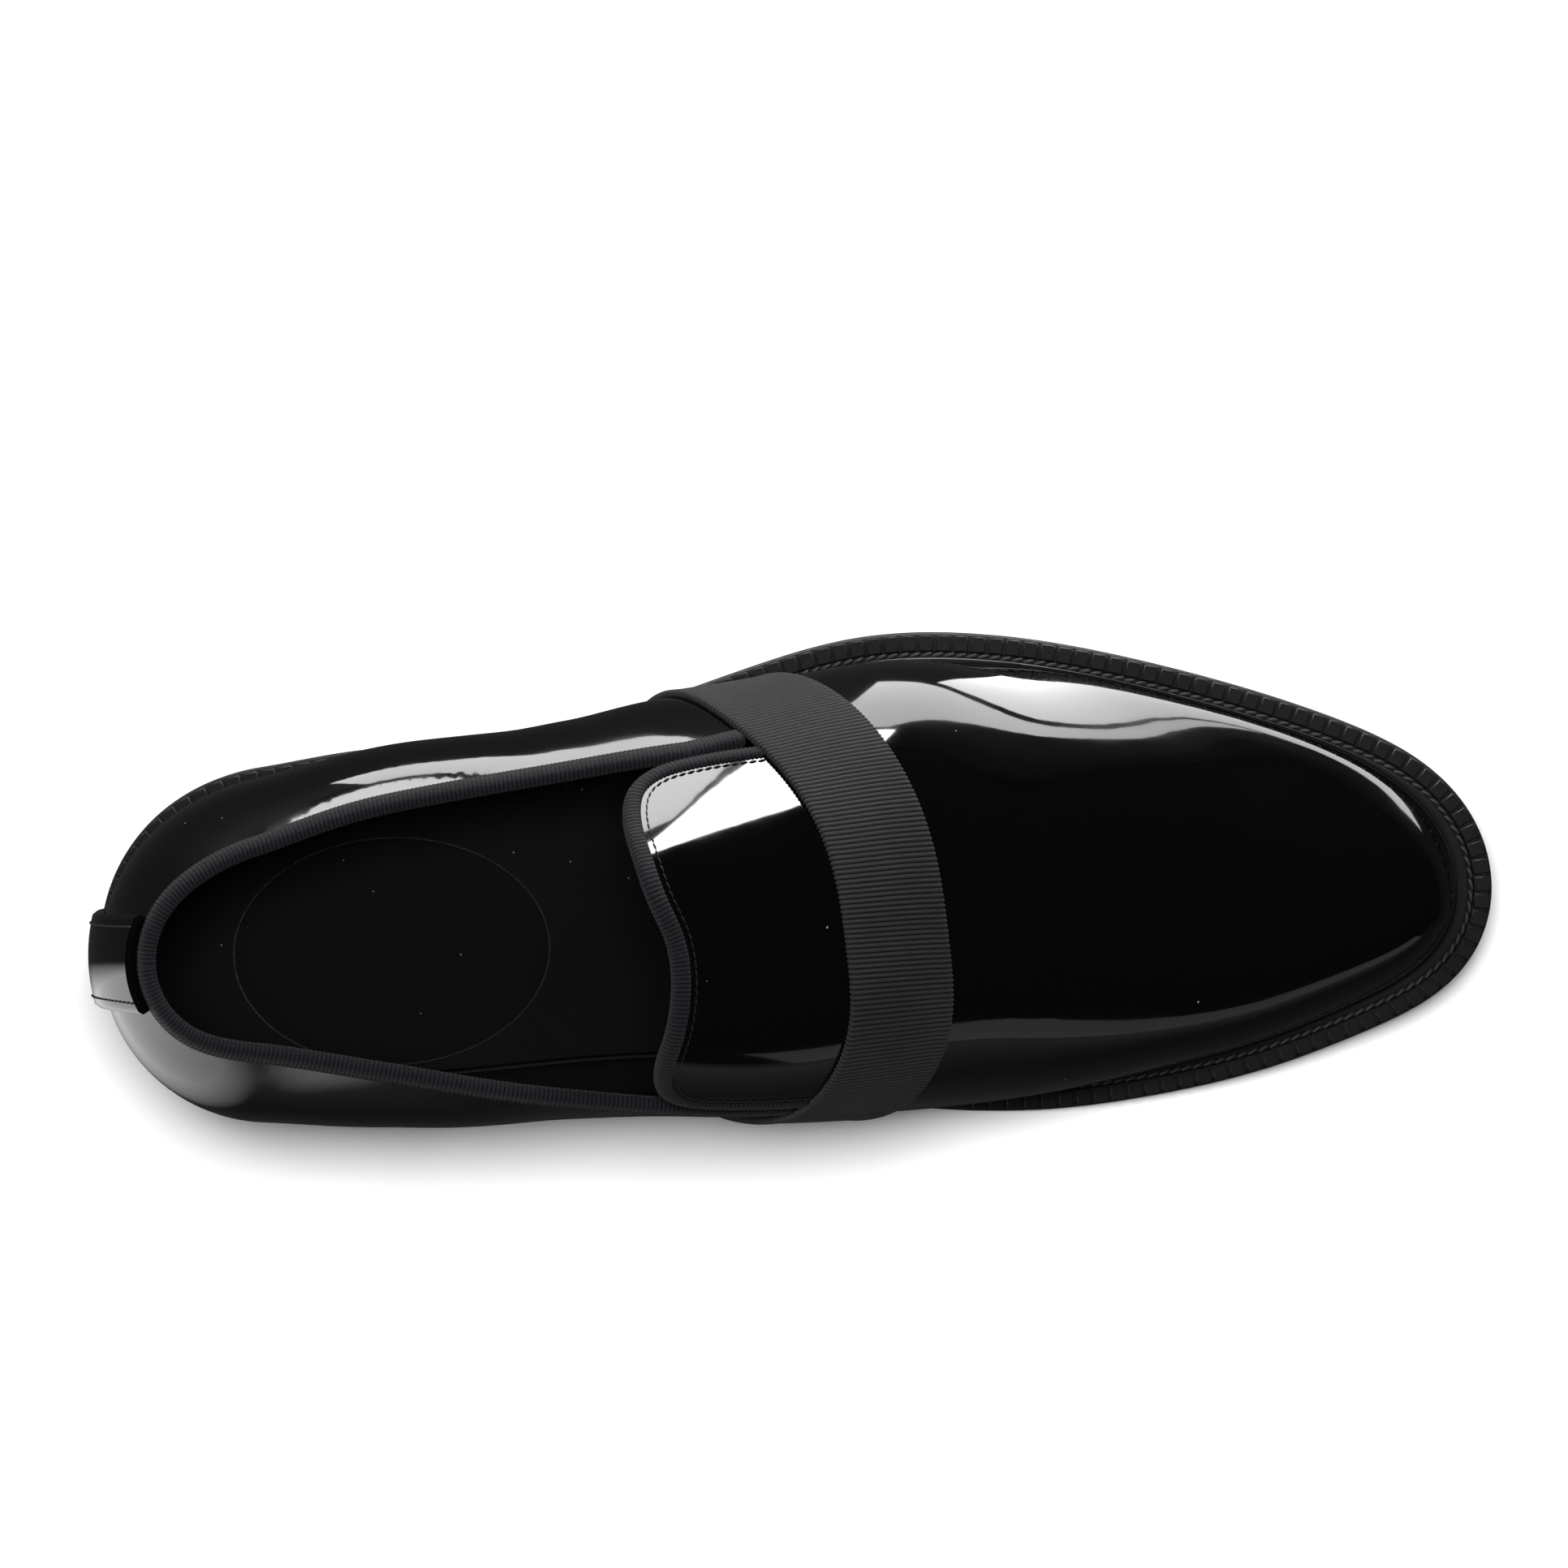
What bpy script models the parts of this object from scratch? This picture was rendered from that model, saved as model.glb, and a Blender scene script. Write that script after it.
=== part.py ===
"""Tuxedo shoe for the left foot, standing empty on its sole.

Metres, +X to the toe, +Y to the outer (lateral) side, +Z up. The origin is on
the floor under the middle of the heel. Every form is read from one last: a
plan outline for the sole, and ribs that rise from the foot line to the ridge.
"""

import math

import bpy
import bmesh
import numpy as np
from mathutils import Vector
from mathutils.geometry import delaunay_2d_cdt

# Last and sole
SOLE_LENGTH = 0.302
BALL_WIDTH = 0.1045
INSTEP = 0.076
HEEL_CENTRE = 0.036
HEEL_LENGTH = 0.075
HEEL_RISE = 0.022
TOE_SPRING = 0.013
BALL_REST = 0.185
BALL_FLAT = 0.020
TOE_ROUND = 0.104
HEEL_ROUND = 0.036
TOE_BOX = 0.045

# Bottom pieces
OUTSOLE = 0.0045
OUTSOLE_LIP = 0.0006
WELT = 0.0036
BLOCK = 0.0035
NOTCH_PITCH = 0.00387
NOTCH_DEPTH = 0.0006
GROOVE = 0.0010
GROOVE_DEPTH = 0.0005
RAND_LIP = 0.0010
SHELF = 0.0055
TOP_LIFT = 0.006
HEEL_SETBACK = 0.0012
HEEL_TAPER = 0.0018
INSOLE = 0.0035
INSOLE_LEAN = 0.0027
PAD_ALONG = 0.210
PAD_ACROSS = -0.018
PAD_LENGTH = 0.068
PAD_WIDTH = 0.049
PAD = 0.002

# Upper and trim
WALL = 0.0022
BINDING = 0.0036
BINDING_HEIGHT = 0.0036
SLIT_UNDER_BAND = 0.007
SLIT_FADE = 0.06
BAND_WIDTH = 0.0238
BAND = 0.0011
BAND_ALONG = 0.536
BAND_UP = 1.118
BAND_SLANT = -0.11
BAND_LEAN = 0.75
BAND_FOOT = 0.0045
TAB_WIDTH = 0.019
TAB_LENGTH = 0.040
TAB = 0.0024

# Clearance between neighbours, and the size of the facets
GAP = 0.0003
CELL = 0.0068

BACK = -HEEL_CENTRE
TIP = BACK + SOLE_LENGTH
BAND_X = BACK + BAND_ALONG * SOLE_LENGTH
BAND_Z = BAND_UP * INSTEP
SLIT = 2.0 * BINDING_HEIGHT + 5.0 * GAP

# Sole's edge: along is a share of SOLE_LENGTH from the back; centre and half
# are shares of BALL_WIDTH, before the toe and heel are rounded off.
SOLE = [
    # along, centre, half
    (0.00, 0.000, 0.356),
    (0.12, 0.005, 0.364),
    (0.19, 0.015, 0.380),
    (0.26, 0.019, 0.378),
    (0.33, 0.032, 0.380),
    (0.40, 0.059, 0.408),
    (0.47, 0.080, 0.449),
    (0.54, 0.092, 0.486),
    (0.61, 0.084, 0.503),
    (0.68, 0.069, 0.495),
    (0.76, 0.053, 0.477),
    (0.84, 0.041, 0.466),
    (0.92, 0.035, 0.474),
    (1.00, 0.020, 0.535),
]

# Width of the rand's raised lip, between the stitch groove and the upper, in
# shares of BALL_WIDTH.
LIP = [
    # along, lateral, medial
    (0.00, 0.0065, 0.0065),
    (0.15, 0.0065, 0.0065),
    (0.40, 0.0085, 0.0065),
    (0.52, 0.0175, 0.0085),
    (0.60, 0.0150, 0.0105),
    (0.69, 0.0045, 0.0115),
    (0.80, 0.0035, 0.0115),
    (0.90, 0.0070, 0.0140),
    (0.95, 0.0160, 0.0180),
    (1.00, 0.0245, 0.0245),
]

# Ribs of the last: ridge is the crest's place across, a share of BALL_WIDTH;
# rise is its height over the foot line, a share of INSTEP; bulges, shoulders
# and crowns are shares of the rib's own half width at the foot, lateral (l)
# and medial (m).
RIBS = [
    # along, ridge, rise, bulge_l, bulge_m, shoulder_l, shoulder_m, crown_l, crown_m
    (0.00, 0.004, 1.080, 0.130, 0.130, 0.62, 0.62, 0.24, 0.24),
    (0.12, 0.014, 1.080, 0.190, 0.190, 0.36, 0.24, 0.14, 0.12),
    (0.22, 0.018, 1.060, 0.300, 0.260, 0.38, 0.38, 0.16, 0.16),
    (0.32, 0.010, 1.010, 0.330, 0.310, 0.62, 0.82, 0.28, 0.38),
    (0.40, 0.000, 0.985, 0.230, 0.310, 0.75, 1.12, 0.37, 0.58),
    (0.46, -0.010, 0.985, 0.125, 0.290, 0.79, 1.16, 0.39, 0.61),
    (0.54, -0.020, 0.945, 0.060, 0.220, 0.81, 1.06, 0.39, 0.55),
    (0.61, -0.030, 0.800, 0.020, 0.130, 0.79, 0.94, 0.40, 0.48),
    (0.68, -0.055, 0.615, -0.090, 0.060, 0.70, 0.88, 0.36, 0.43),
    (0.76, -0.070, 0.445, -0.160, 0.000, 0.64, 0.81, 0.32, 0.40),
    (0.84, -0.060, 0.350, -0.190, -0.030, 0.60, 0.75, 0.29, 0.37),
    (0.92, -0.035, 0.315, -0.190, -0.070, 0.58, 0.71, 0.28, 0.35),
    (1.00, 0.000, 0.310, -0.160, -0.100, 0.62, 0.68, 0.30, 0.33),
]

# Levels of a rib's control points, as shares of its rise.
LEVELS = (0.0, 0.05, 0.16, 0.41, 0.75, 1.0)

# Collar: height of the leather's cut edge over the floor, in shares of INSTEP.
COLLAR = [
    # along, lateral, medial
    (0.00, 1.110, 1.110),
    (0.06, 1.085, 1.085),
    (0.14, 1.010, 1.025),
    (0.24, 0.960, 0.985),
    (0.34, 0.925, 0.930),
    (0.43, 0.864, 0.846),
    (0.52, 0.782, 0.740),
]

# Leather edge of the tongue, seen from above: along is a share of SOLE_LENGTH,
# across a share of BALL_WIDTH.
TONGUE = [
    # along, across
    (0.520, -0.334),
    (0.468, -0.333),
    (0.438, -0.327),
    (0.421, -0.318),
    (0.411, -0.299),
    (0.409, -0.268),
    (0.416, -0.201),
    (0.423, -0.124),
    (0.425, -0.048),
    (0.421, 0.028),
    (0.411, 0.100),
    (0.401, 0.190),
    (0.395, 0.266),
    (0.398, 0.302),
    (0.408, 0.326),
    (0.425, 0.341),
    (0.452, 0.353),
    (0.500, 0.364),
]


def spline(xs, ys):
    """Natural cubic spline through a table's two columns."""
    xs = np.asarray(xs, float)
    ys = np.asarray(ys, float)
    n = len(xs)
    h = np.diff(xs)
    a = np.zeros((n, n))
    r = np.zeros(n)
    a[0, 0] = 1.0
    a[-1, -1] = 1.0
    for i in range(1, n - 1):
        a[i, i - 1] = h[i - 1]
        a[i, i] = 2.0 * (h[i - 1] + h[i])
        a[i, i + 1] = h[i]
        r[i] = 6.0 * ((ys[i + 1] - ys[i]) / h[i] - (ys[i] - ys[i - 1]) / h[i - 1])
    m = np.linalg.solve(a, r)

    def value(x):
        x = np.clip(x, xs[0], xs[-1])
        i = np.clip(np.searchsorted(xs, x, side="right") - 1, 0, n - 2)
        step = h[i]
        left = x - xs[i]
        right = xs[i + 1] - x
        bend = (m[i] * right**3 + m[i + 1] * left**3) / (6.0 * step)
        low = (ys[i] / step - m[i] * step / 6.0) * right
        high = (ys[i + 1] / step - m[i + 1] * step / 6.0) * left
        return bend + low + high

    return value


def columns(table, unit=1.0):
    """One spline for each column after the first, scaled by the column's unit."""
    rows = np.asarray(table, float)
    along = BACK + rows[:, 0] * SOLE_LENGTH
    return [spline(along, rows[:, k] * unit) for k in range(1, rows.shape[1])]


sole_centre, sole_half = columns(SOLE, BALL_WIDTH)
lip_lateral, lip_medial = columns(LIP, BALL_WIDTH)
collar_lateral, collar_medial = columns(COLLAR, INSTEP)
rib_columns = columns(RIBS)
ridge_at, rise_at = rib_columns[:2]


def bottom(x):
    """Height of the outsole's underside: heel flat, arch, ball flat, toe spring."""
    x = np.asarray(x, float) - BACK
    t = np.clip((x - HEEL_LENGTH) / (BALL_REST - HEEL_LENGTH), 0.0, 1.0)
    arch = HEEL_RISE * (1.0 - t**3 * (t * (6.0 * t - 15.0) + 10.0))
    front = np.clip((x - BALL_REST - BALL_FLAT) / (SOLE_LENGTH - BALL_REST - BALL_FLAT), 0.0, None)
    return arch + TOE_SPRING * front**2.2


def feather(x):
    """Top of the welt, where the upper meets the bottom."""
    return bottom(x) + OUTSOLE + WELT


def sole_ring(count):
    """Points of the sole's edge from the toe tip round by the lateral side,
    evenly spaced, with outward normals."""
    turn = np.linspace(0.0, 2.0 * math.pi, 2881)[:-1]
    x = 0.5 * (TIP + BACK) + 0.5 * SOLE_LENGTH * np.cos(turn)
    toe = np.clip((TIP - x) / TOE_ROUND, 0.0, 1.0)
    heel = np.clip((x - BACK) / HEEL_ROUND, 0.0, 1.0)
    close = np.sqrt(np.clip(1.0 - (1.0 - toe) ** 2, 0.0, 1.0))
    close = close * np.sqrt(np.clip(1.0 - (1.0 - heel) ** 2, 0.0, 1.0))
    side = np.where(turn <= math.pi, 1.0, -1.0)
    y = sole_centre(x) + side * sole_half(x) * close
    ring = np.stack([x, y], axis=1)
    step = np.linalg.norm(np.roll(ring, -1, axis=0) - ring, axis=1)
    run = np.concatenate([[0.0], np.cumsum(step)])
    want = np.linspace(0.0, run[-1], count, endpoint=False)
    closed = np.vstack([ring, ring[:1]])
    x = np.interp(want, run, closed[:, 0])
    y = np.interp(want, run, closed[:, 1])
    ring = np.stack([x, y], axis=1)
    tangent = np.roll(ring, -1, axis=0) - np.roll(ring, 1, axis=0)
    tangent = tangent / np.linalg.norm(tangent, axis=1)[:, None]
    normal = np.stack([tangent[:, 1], -tangent[:, 0]], axis=1)
    return ring, normal, run[-1]


def margin_of(ring):
    """How far inside the sole's edge the upper meets the welt, at each point:
    the outsole's lip, the blocks, the stitch groove and the rand's lip."""
    x = ring[:, 0]
    side = (ring[:, 1] - sole_centre(x)) / np.maximum(sole_half(x), 1e-6)
    part = 0.5 + 0.5 * np.clip(side * 1.5, -1.0, 1.0)
    lip = part * lip_lateral(x) + (1.0 - part) * lip_medial(x)
    return OUTSOLE_LIP + BLOCK + GAP + GROOVE + GAP + lip


def inset(ring, normal, depth):
    return ring - normal * np.asarray(depth)[..., None]


def branches(ring):
    """A ring as its lateral and medial edges, each read by its station angle."""
    back = int(np.argmin(ring[:, 0]))
    tip = int(np.argmax(ring[:, 0]))
    ring = np.roll(ring, -tip, axis=0)
    back = (back - tip) % len(ring)
    lateral = ring[: back + 1][::-1]
    medial = np.vstack([ring[back:], ring[:1]])
    x0 = lateral[0, 0]
    x1 = lateral[-1, 0]

    def edge(points):
        share = np.clip(1.0 - 2.0 * (points[:, 0] - x0) / (x1 - x0), -1.0, 1.0)
        angle = np.arccos(share)
        return lambda a: np.interp(a, angle, points[:, 1])

    return x0, x1, edge(lateral), edge(medial)


ring_fine, normal_fine, perimeter = sole_ring(2880)
foot_ring = inset(ring_fine, normal_fine, margin_of(ring_fine))
FOOT_BACK, FOOT_TIP, foot_lateral, foot_medial = branches(foot_ring)
FAN = -FOOT_BACK


def basis(t, count, degree=3):
    """Clamped uniform B-spline basis, one column for each control point."""
    inner = np.linspace(0.0, 1.0, count - degree + 1)
    knots = np.concatenate([np.zeros(degree), inner, np.ones(degree)])
    t = np.clip(t, 0.0, 1.0 - 1e-12)
    b = [((t >= knots[i]) & (t < knots[i + 1])).astype(float) for i in range(len(knots) - 1)]
    for d in range(1, degree + 1):
        fresh = []
        for i in range(len(knots) - 1 - d):
            left = knots[i + d] - knots[i]
            right = knots[i + d + 1] - knots[i + 1]
            term = np.zeros_like(t)
            if left > 0:
                term = term + (t - knots[i]) / left * b[i]
            if right > 0:
                term = term + (knots[i + d + 1] - t) / right * b[i + 1]
            fresh.append(term)
        b = fresh
    return np.stack(b, axis=-1)


def last(u, t):
    """Outer face of the upper's last: u from the back seam (0) to the toe (1),
    t from the medial foot (-1) over the ridge (0) to the lateral foot (1)."""
    u, t = np.broadcast_arrays(np.asarray(u, float), np.asarray(t, float))
    t = np.where(u < 0, -t, t)
    angle = math.pi * np.abs(u)
    x = FOOT_BACK + (FOOT_TIP - FOOT_BACK) * 0.5 * (1.0 - np.cos(angle))
    g = x / FAN
    eased = np.where(g < 1.0, (-(g**4) + 6.0 * g**2 + 8.0 * g + 3.0) / 16.0, g)
    crest_x = np.where(g < 1.0, FAN * eased, x)
    crest_y = ridge_at(crest_x) * BALL_WIDTH
    toe = np.clip((FOOT_TIP - x) / TOE_BOX, 0.0, 1.0)
    rise = rise_at(x) * INSTEP * np.sqrt(np.clip(1.0 - (1.0 - toe) ** 2.5, 0.0, 1.0))
    # The two sides of a rib grow alike towards the back seam, where they meet.
    apart = np.clip((x - FOOT_BACK) / FAN, 0.0, 1.0)
    apart = 0.5 * apart * apart * (3.0 - 2.0 * apart)
    shares = []
    for side in (1, 0):
        one = np.ones_like(x)
        own = [rib_columns[k + side](x) for k in (2, 4, 6)]
        other = [rib_columns[k + 1 - side](x) for k in (2, 4, 6)]
        bulge, shoulder, crown = ((0.5 + apart) * a + (0.5 - apart) * b for a, b in zip(own, other))
        low = np.where(bulge > 0, 0.75, 0.22) * bulge
        shares.append([one, one, 1.0 + low, 1.0 + bulge, shoulder, crown])
    share = np.stack(shares[0] + [np.zeros_like(x)] + shares[1][::-1], axis=-1)
    level = np.array(LEVELS + (1.0,) + LEVELS[::-1])
    across = np.stack([foot_medial(angle) - crest_y] * 6 + [0 * x] + [foot_lateral(angle) - crest_y] * 6, axis=-1)
    weight = basis(0.5 * (t + 1.0), 13)
    px = crest_x + (x - crest_x) * np.sum(weight * share, axis=-1)
    py = crest_y + np.sum(weight * share * across, axis=-1)
    pz = feather(px) + GAP + rise * np.sum(weight * level, axis=-1)
    return np.stack([px, py, pz], axis=-1)


def last_normal(u, t):
    """Outward normal of the last's face."""
    step = 1e-4
    t = np.clip(t, -1.0 + step, 1.0 - step)
    u = np.minimum(u, 1.0 - 4e-3)
    along = last(u + step, t) - last(u - step, t)
    around = last(u, t + step) - last(u, t - step)
    n = np.cross(along, around)
    n = n / np.linalg.norm(n, axis=-1)[..., None]
    flat = np.abs(t) > 1.0 - 2.0 * step
    n[..., 2] = np.where(flat, 0.0, n[..., 2])
    return n / np.linalg.norm(n, axis=-1)[..., None]


def solve(low, high, target, rounds=44):
    """Bisection for every entry: target rises through zero from low to high."""
    low = np.array(low, float)
    high = np.array(high, float)
    for _ in range(rounds):
        mid = 0.5 * (low + high)
        up = target(mid) > 0
        high = np.where(up, mid, high)
        low = np.where(up, low, mid)
    return 0.5 * (low + high)


def station(x):
    """u of a rib in the forepart or waist, where ribs run straight across."""
    share = 1.0 - 2.0 * (np.asarray(x, float) - FOOT_BACK) / (FOOT_TIP - FOOT_BACK)
    return np.arccos(np.clip(share, -1.0, 1.0)) / math.pi


def collar_t(u, side):
    """t of the collar's leather edge on one side (+1 lateral, -1 medial)."""
    height = collar_lateral if side > 0 else collar_medial

    def over(s):
        p = last(u, side * s)
        return height(p[..., 0]) - p[..., 2]

    return side * solve(np.full_like(u, 0.02), np.full_like(u, 0.9), over)


def tongue_ut(x, y):
    """u and t of a point of the tongue given from above."""
    u = station(x)
    side = np.where(y >= ridge_at(x) * BALL_WIDTH, 1.0, -1.0)

    def over(s):
        return side * (last(u, side * s)[..., 1] - y)

    return u, side * solve(np.zeros_like(u), np.full_like(u, 0.62), over)


def band_place(p):
    """Signed distance of a point in front of the band's rear plane."""
    lean = math.sqrt(1.0 + BAND_SLANT**2 + BAND_LEAN**2)
    face = p[..., 0] - BAND_X - BAND_SLANT * p[..., 1] - BAND_LEAN * (p[..., 2] - BAND_Z)
    return face / lean


def evenly(points, size):
    """Run along a polyline at its points, and at even cuts of about a size."""
    step = np.linalg.norm(np.diff(points, axis=0), axis=1)
    run = np.concatenate([[0.0], np.cumsum(step)])
    count = max(2, int(math.ceil(run[-1] / size)))
    return run, np.linspace(0.0, run[-1], count + 1)


def clear_of_tongue(tongue, side, u, t):
    """The collar's t on one side, kept a slit's width below the tongue's edge."""
    edge = tongue[tongue[:, 1] * side > 0]
    edge = edge[np.argsort(edge[:, 0])]
    rear = edge[0, 0]
    at = np.maximum(u, rear)
    tongue_t = np.interp(at, edge[:, 0], np.maximum.accumulate(np.abs(edge[:, 1])))
    step = 0.01
    girth = np.linalg.norm(last(at, side * (tongue_t + step)) - last(at, side * tongue_t), axis=-1) / step
    fade = np.clip(1.0 - (rear - u) / SLIT_FADE, 0.0, 1.0)
    return side * np.maximum(np.abs(t), fade * (tongue_t + SLIT / girth))


def edge_lines():
    """Collar and tongue edges of the leather as (u, t) lines. The collar's runs
    from the lateral slit round the back to the medial one, where u is below
    zero; the tongue's from the medial slit round its rear to the lateral one."""
    rows = np.asarray(TONGUE, float)
    plan = np.stack([BACK + rows[:, 0] * SOLE_LENGTH, rows[:, 1] * BALL_WIDTH], axis=1)
    run = np.concatenate([[0.0], np.cumsum(np.linalg.norm(np.diff(plan, axis=0), axis=1))])
    fine = np.linspace(0.0, run[-1], 600)
    x = spline(run, plan[:, 0])(fine)
    y = spline(run, plan[:, 1])(fine)
    u, t = tongue_ut(x, y)
    keep = band_place(last(u, t)) < SLIT_UNDER_BAND
    tongue = np.stack([u[keep], t[keep]], axis=1)
    sides = []
    for side in (1.0, -1.0):
        u = np.linspace(0.0, station(BAND_X), 500)
        t = clear_of_tongue(tongue, side, u, collar_t(u, side))
        keep = band_place(last(u, t)) < SLIT_UNDER_BAND
        sides.append(np.stack([side * u[keep], side * t[keep]], axis=1))
    collar = np.vstack([sides[0][::-1], sides[1][1:]])
    return collar, tongue, len(sides[0]) - 1


def outer(line):
    return last(line[:, 0], line[:, 1])


def resample(line, size):
    """A (u, t) line cut into even steps of about the given size."""
    run, want = evenly(outer(line), size)
    return np.stack([np.interp(want, run, line[:, 0]), np.interp(want, run, line[:, 1])], axis=1)


def material(name, colour, roughness, metallic=0.0):
    mat = bpy.data.materials.new(name)
    mat.use_nodes = True
    shader = mat.node_tree.nodes["Principled BSDF"]
    shader.inputs["Base Color"].default_value = (*colour, 1.0)
    shader.inputs["Roughness"].default_value = roughness
    shader.inputs["Metallic"].default_value = metallic
    return mat


def solid(name, points, faces, mat, sharp=35.0):
    """A named object from points and faces, shaded smooth with sharp creases."""
    mesh = bpy.data.meshes.new(name)
    mesh.from_pydata([tuple(map(float, p)) for p in points], [], [tuple(map(int, f)) for f in faces])
    bm = bmesh.new()
    bm.from_mesh(mesh)
    bmesh.ops.recalc_face_normals(bm, faces=bm.faces)
    bm.to_mesh(mesh)
    bm.free()
    mesh.materials.append(mat)
    mesh.shade_smooth()
    mesh.set_sharp_from_angle(angle=math.radians(sharp))
    obj = bpy.data.objects.new(name, mesh)
    bpy.context.scene.collection.objects.link(obj)
    return obj


def swept(rows, closed_path, closed_section=True):
    """Faces of a section swept along a path; rows is (stations, section, 3)."""
    count, size = rows.shape[:2]
    faces = []
    for i in range(count if closed_path else count - 1):
        j = (i + 1) % count
        for k in range(size if closed_section else size - 1):
            n = (k + 1) % size
            faces.append((i * size + k, i * size + n, j * size + n, j * size + k))
    if not closed_path:
        faces.append(tuple(range(size)))
        faces.append(tuple((count - 1) * size + k for k in range(size)))
    return faces


def ladder(name, levels, mat, sharp=35.0):
    """A plate from rungs across: each level is (lateral, medial) lines of the
    plate's edge, listed from the underside up. End rungs are closed."""
    points = []
    for lateral, medial in levels:
        points.append(np.vstack([lateral, medial[::-1]]))
    ring = len(points[0])
    half = ring // 2
    faces = []
    for k in range(len(points) - 1):
        for i in range(ring):
            j = (i + 1) % ring
            faces.append((k * ring + i, k * ring + j, (k + 1) * ring + j, (k + 1) * ring + i))
    for k in (0, len(points) - 1):
        for i in range(half - 1):
            a = k * ring + i
            b = k * ring + ring - 1 - i
            faces.append((a, a + 1, b - 1, b))
    return solid(name, np.vstack(points), faces, mat, sharp)


def plate_lines(depth, count, start=None, stop=None):
    """Lateral and medial edge lines of the sole's outline inset by depth,
    read at shared stations between start and stop."""
    x0, x1, lateral, medial = branches(inset(ring_fine, normal_fine, depth))
    lo = 0.0 if start is None else math.acos(1.0 - 2.0 * (start - x0) / (x1 - x0))
    hi = math.pi if stop is None else math.acos(1.0 - 2.0 * (stop - x0) / (x1 - x0))
    angle = np.linspace(lo, hi, count)
    blunt = 0.035
    if start is None:
        angle[0] = blunt
    if stop is None:
        angle[-1] = math.pi - blunt
    x = x0 + (x1 - x0) * 0.5 * (1.0 - np.cos(angle))
    return np.stack([x, lateral(angle)], axis=1), np.stack([x, medial(angle)], axis=1)


def at_height(line, z):
    return np.column_stack([line, z(line[:, 0])])


def outsole(mat):
    count = 56
    levels = []
    for depth, up in ((0.0008, 0.0), (0.0, 0.0008), (0.0, OUTSOLE - 0.0006), (0.0006, OUTSOLE)):
        pair = plate_lines(np.full(len(ring_fine), depth), count)
        levels.append(tuple(at_height(line, lambda x, up=up: bottom(x) + up) for line in pair))
    return ladder("outsole", levels, mat)


def heel_pieces(block_mat, lift_mat):
    """Heel block and the wearing piece under it, with the breast cut square."""
    breast = BACK + HEEL_LENGTH

    def levels(heights):
        made = []
        for z in heights:
            depth = HEEL_SETBACK + HEEL_TAPER * (1.0 - z / HEEL_RISE)
            pair = plate_lines(np.full(len(ring_fine), depth), 22, stop=breast - 0.5 * depth)
            made.append(tuple(at_height(line, lambda x, z=z: np.full_like(x, z)) for line in pair))
        return made

    ladder("heel_block", levels((TOP_LIFT + GAP, HEEL_RISE - GAP)), block_mat)
    ladder("top_lift", levels((0.0, TOP_LIFT)), lift_mat)


def welt(mat):
    """Strip of blocks parted by narrow notches, all round the sole's edge."""
    notches = int(round(perimeter / NOTCH_PITCH))
    dense, normals, total = sole_ring(notches * 20)

    def edge(share, depth, up):
        line = inset(dense[share::20], normals[share::20], np.full(notches, depth))
        return np.column_stack([line, bottom(line[:, 0]) + up])

    low = OUTSOLE + GAP
    high = OUTSOLE + WELT - 0.0002
    lip = OUTSOLE_LIP
    notch = lip + NOTCH_DEPTH
    # Each pitch: a block from share 0 to 14, the notch's floor at 17, and the
    # inner edge at 0.
    lines = [
        edge(0, lip, low),
        edge(14, lip, low),
        edge(17, notch, low),
        edge(0, lip, high),
        edge(14, lip, high),
        edge(17, notch, high - NOTCH_DEPTH),
        edge(0, lip + BLOCK, low),
        edge(0, lip + BLOCK, high),
    ]
    points = np.vstack(lines)
    faces = []
    for i in range(notches):
        a, b, c, d, e, f, g, h = (k * notches + i for k in range(8))
        j = (i + 1) % notches
        a1, d1, g1, h1 = j, 3 * notches + j, 6 * notches + j, 7 * notches + j
        faces += [(a, b, e, d), (b, c, f, e), (c, a1, d1, f), (g1, g, h, h1)]
        faces += [(d, e, h), (e, f, h), (f, h1, h), (f, d1, h1)]
        faces += [(a, g, b), (b, g, c), (c, g, g1), (c, g1, a1)]
    return solid("welt", points, faces, mat, 20.0)


def storm_rand(mat):
    """Rand inside the blocks: stitch groove, raised lip, shelf for the upper."""
    ring, normal, total = sole_ring(108)
    margin = margin_of(ring)
    start = OUTSOLE_LIP + BLOCK + GAP
    lip_out = start + GROOVE
    lip_in = margin - GAP
    lip = lip_in - lip_out
    crest = np.minimum(RAND_LIP, lip)
    top = OUTSOLE + WELT
    section = (
        (start, OUTSOLE + GAP),
        (start, top - GROOVE_DEPTH),
        (lip_out - 0.0002, top - GROOVE_DEPTH),
        (lip_out + 0.2 * lip, top + crest * 0.7),
        (lip_out + 0.5 * lip, top + crest),
        (lip_out + 0.8 * lip, top + crest * 0.7),
        (lip_in, top),
        (margin + SHELF, top),
        (margin + SHELF, OUTSOLE + GAP),
    )
    rows = []
    for depth, up in section:
        line = inset(ring, normal, np.broadcast_to(depth, margin.shape))
        rows.append(np.column_stack([line, bottom(line[:, 0]) + up]))
    rows = np.stack(rows, axis=1)
    return solid("storm_rand", rows.reshape(-1, 3), swept(rows, True), mat, 30.0)


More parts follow.
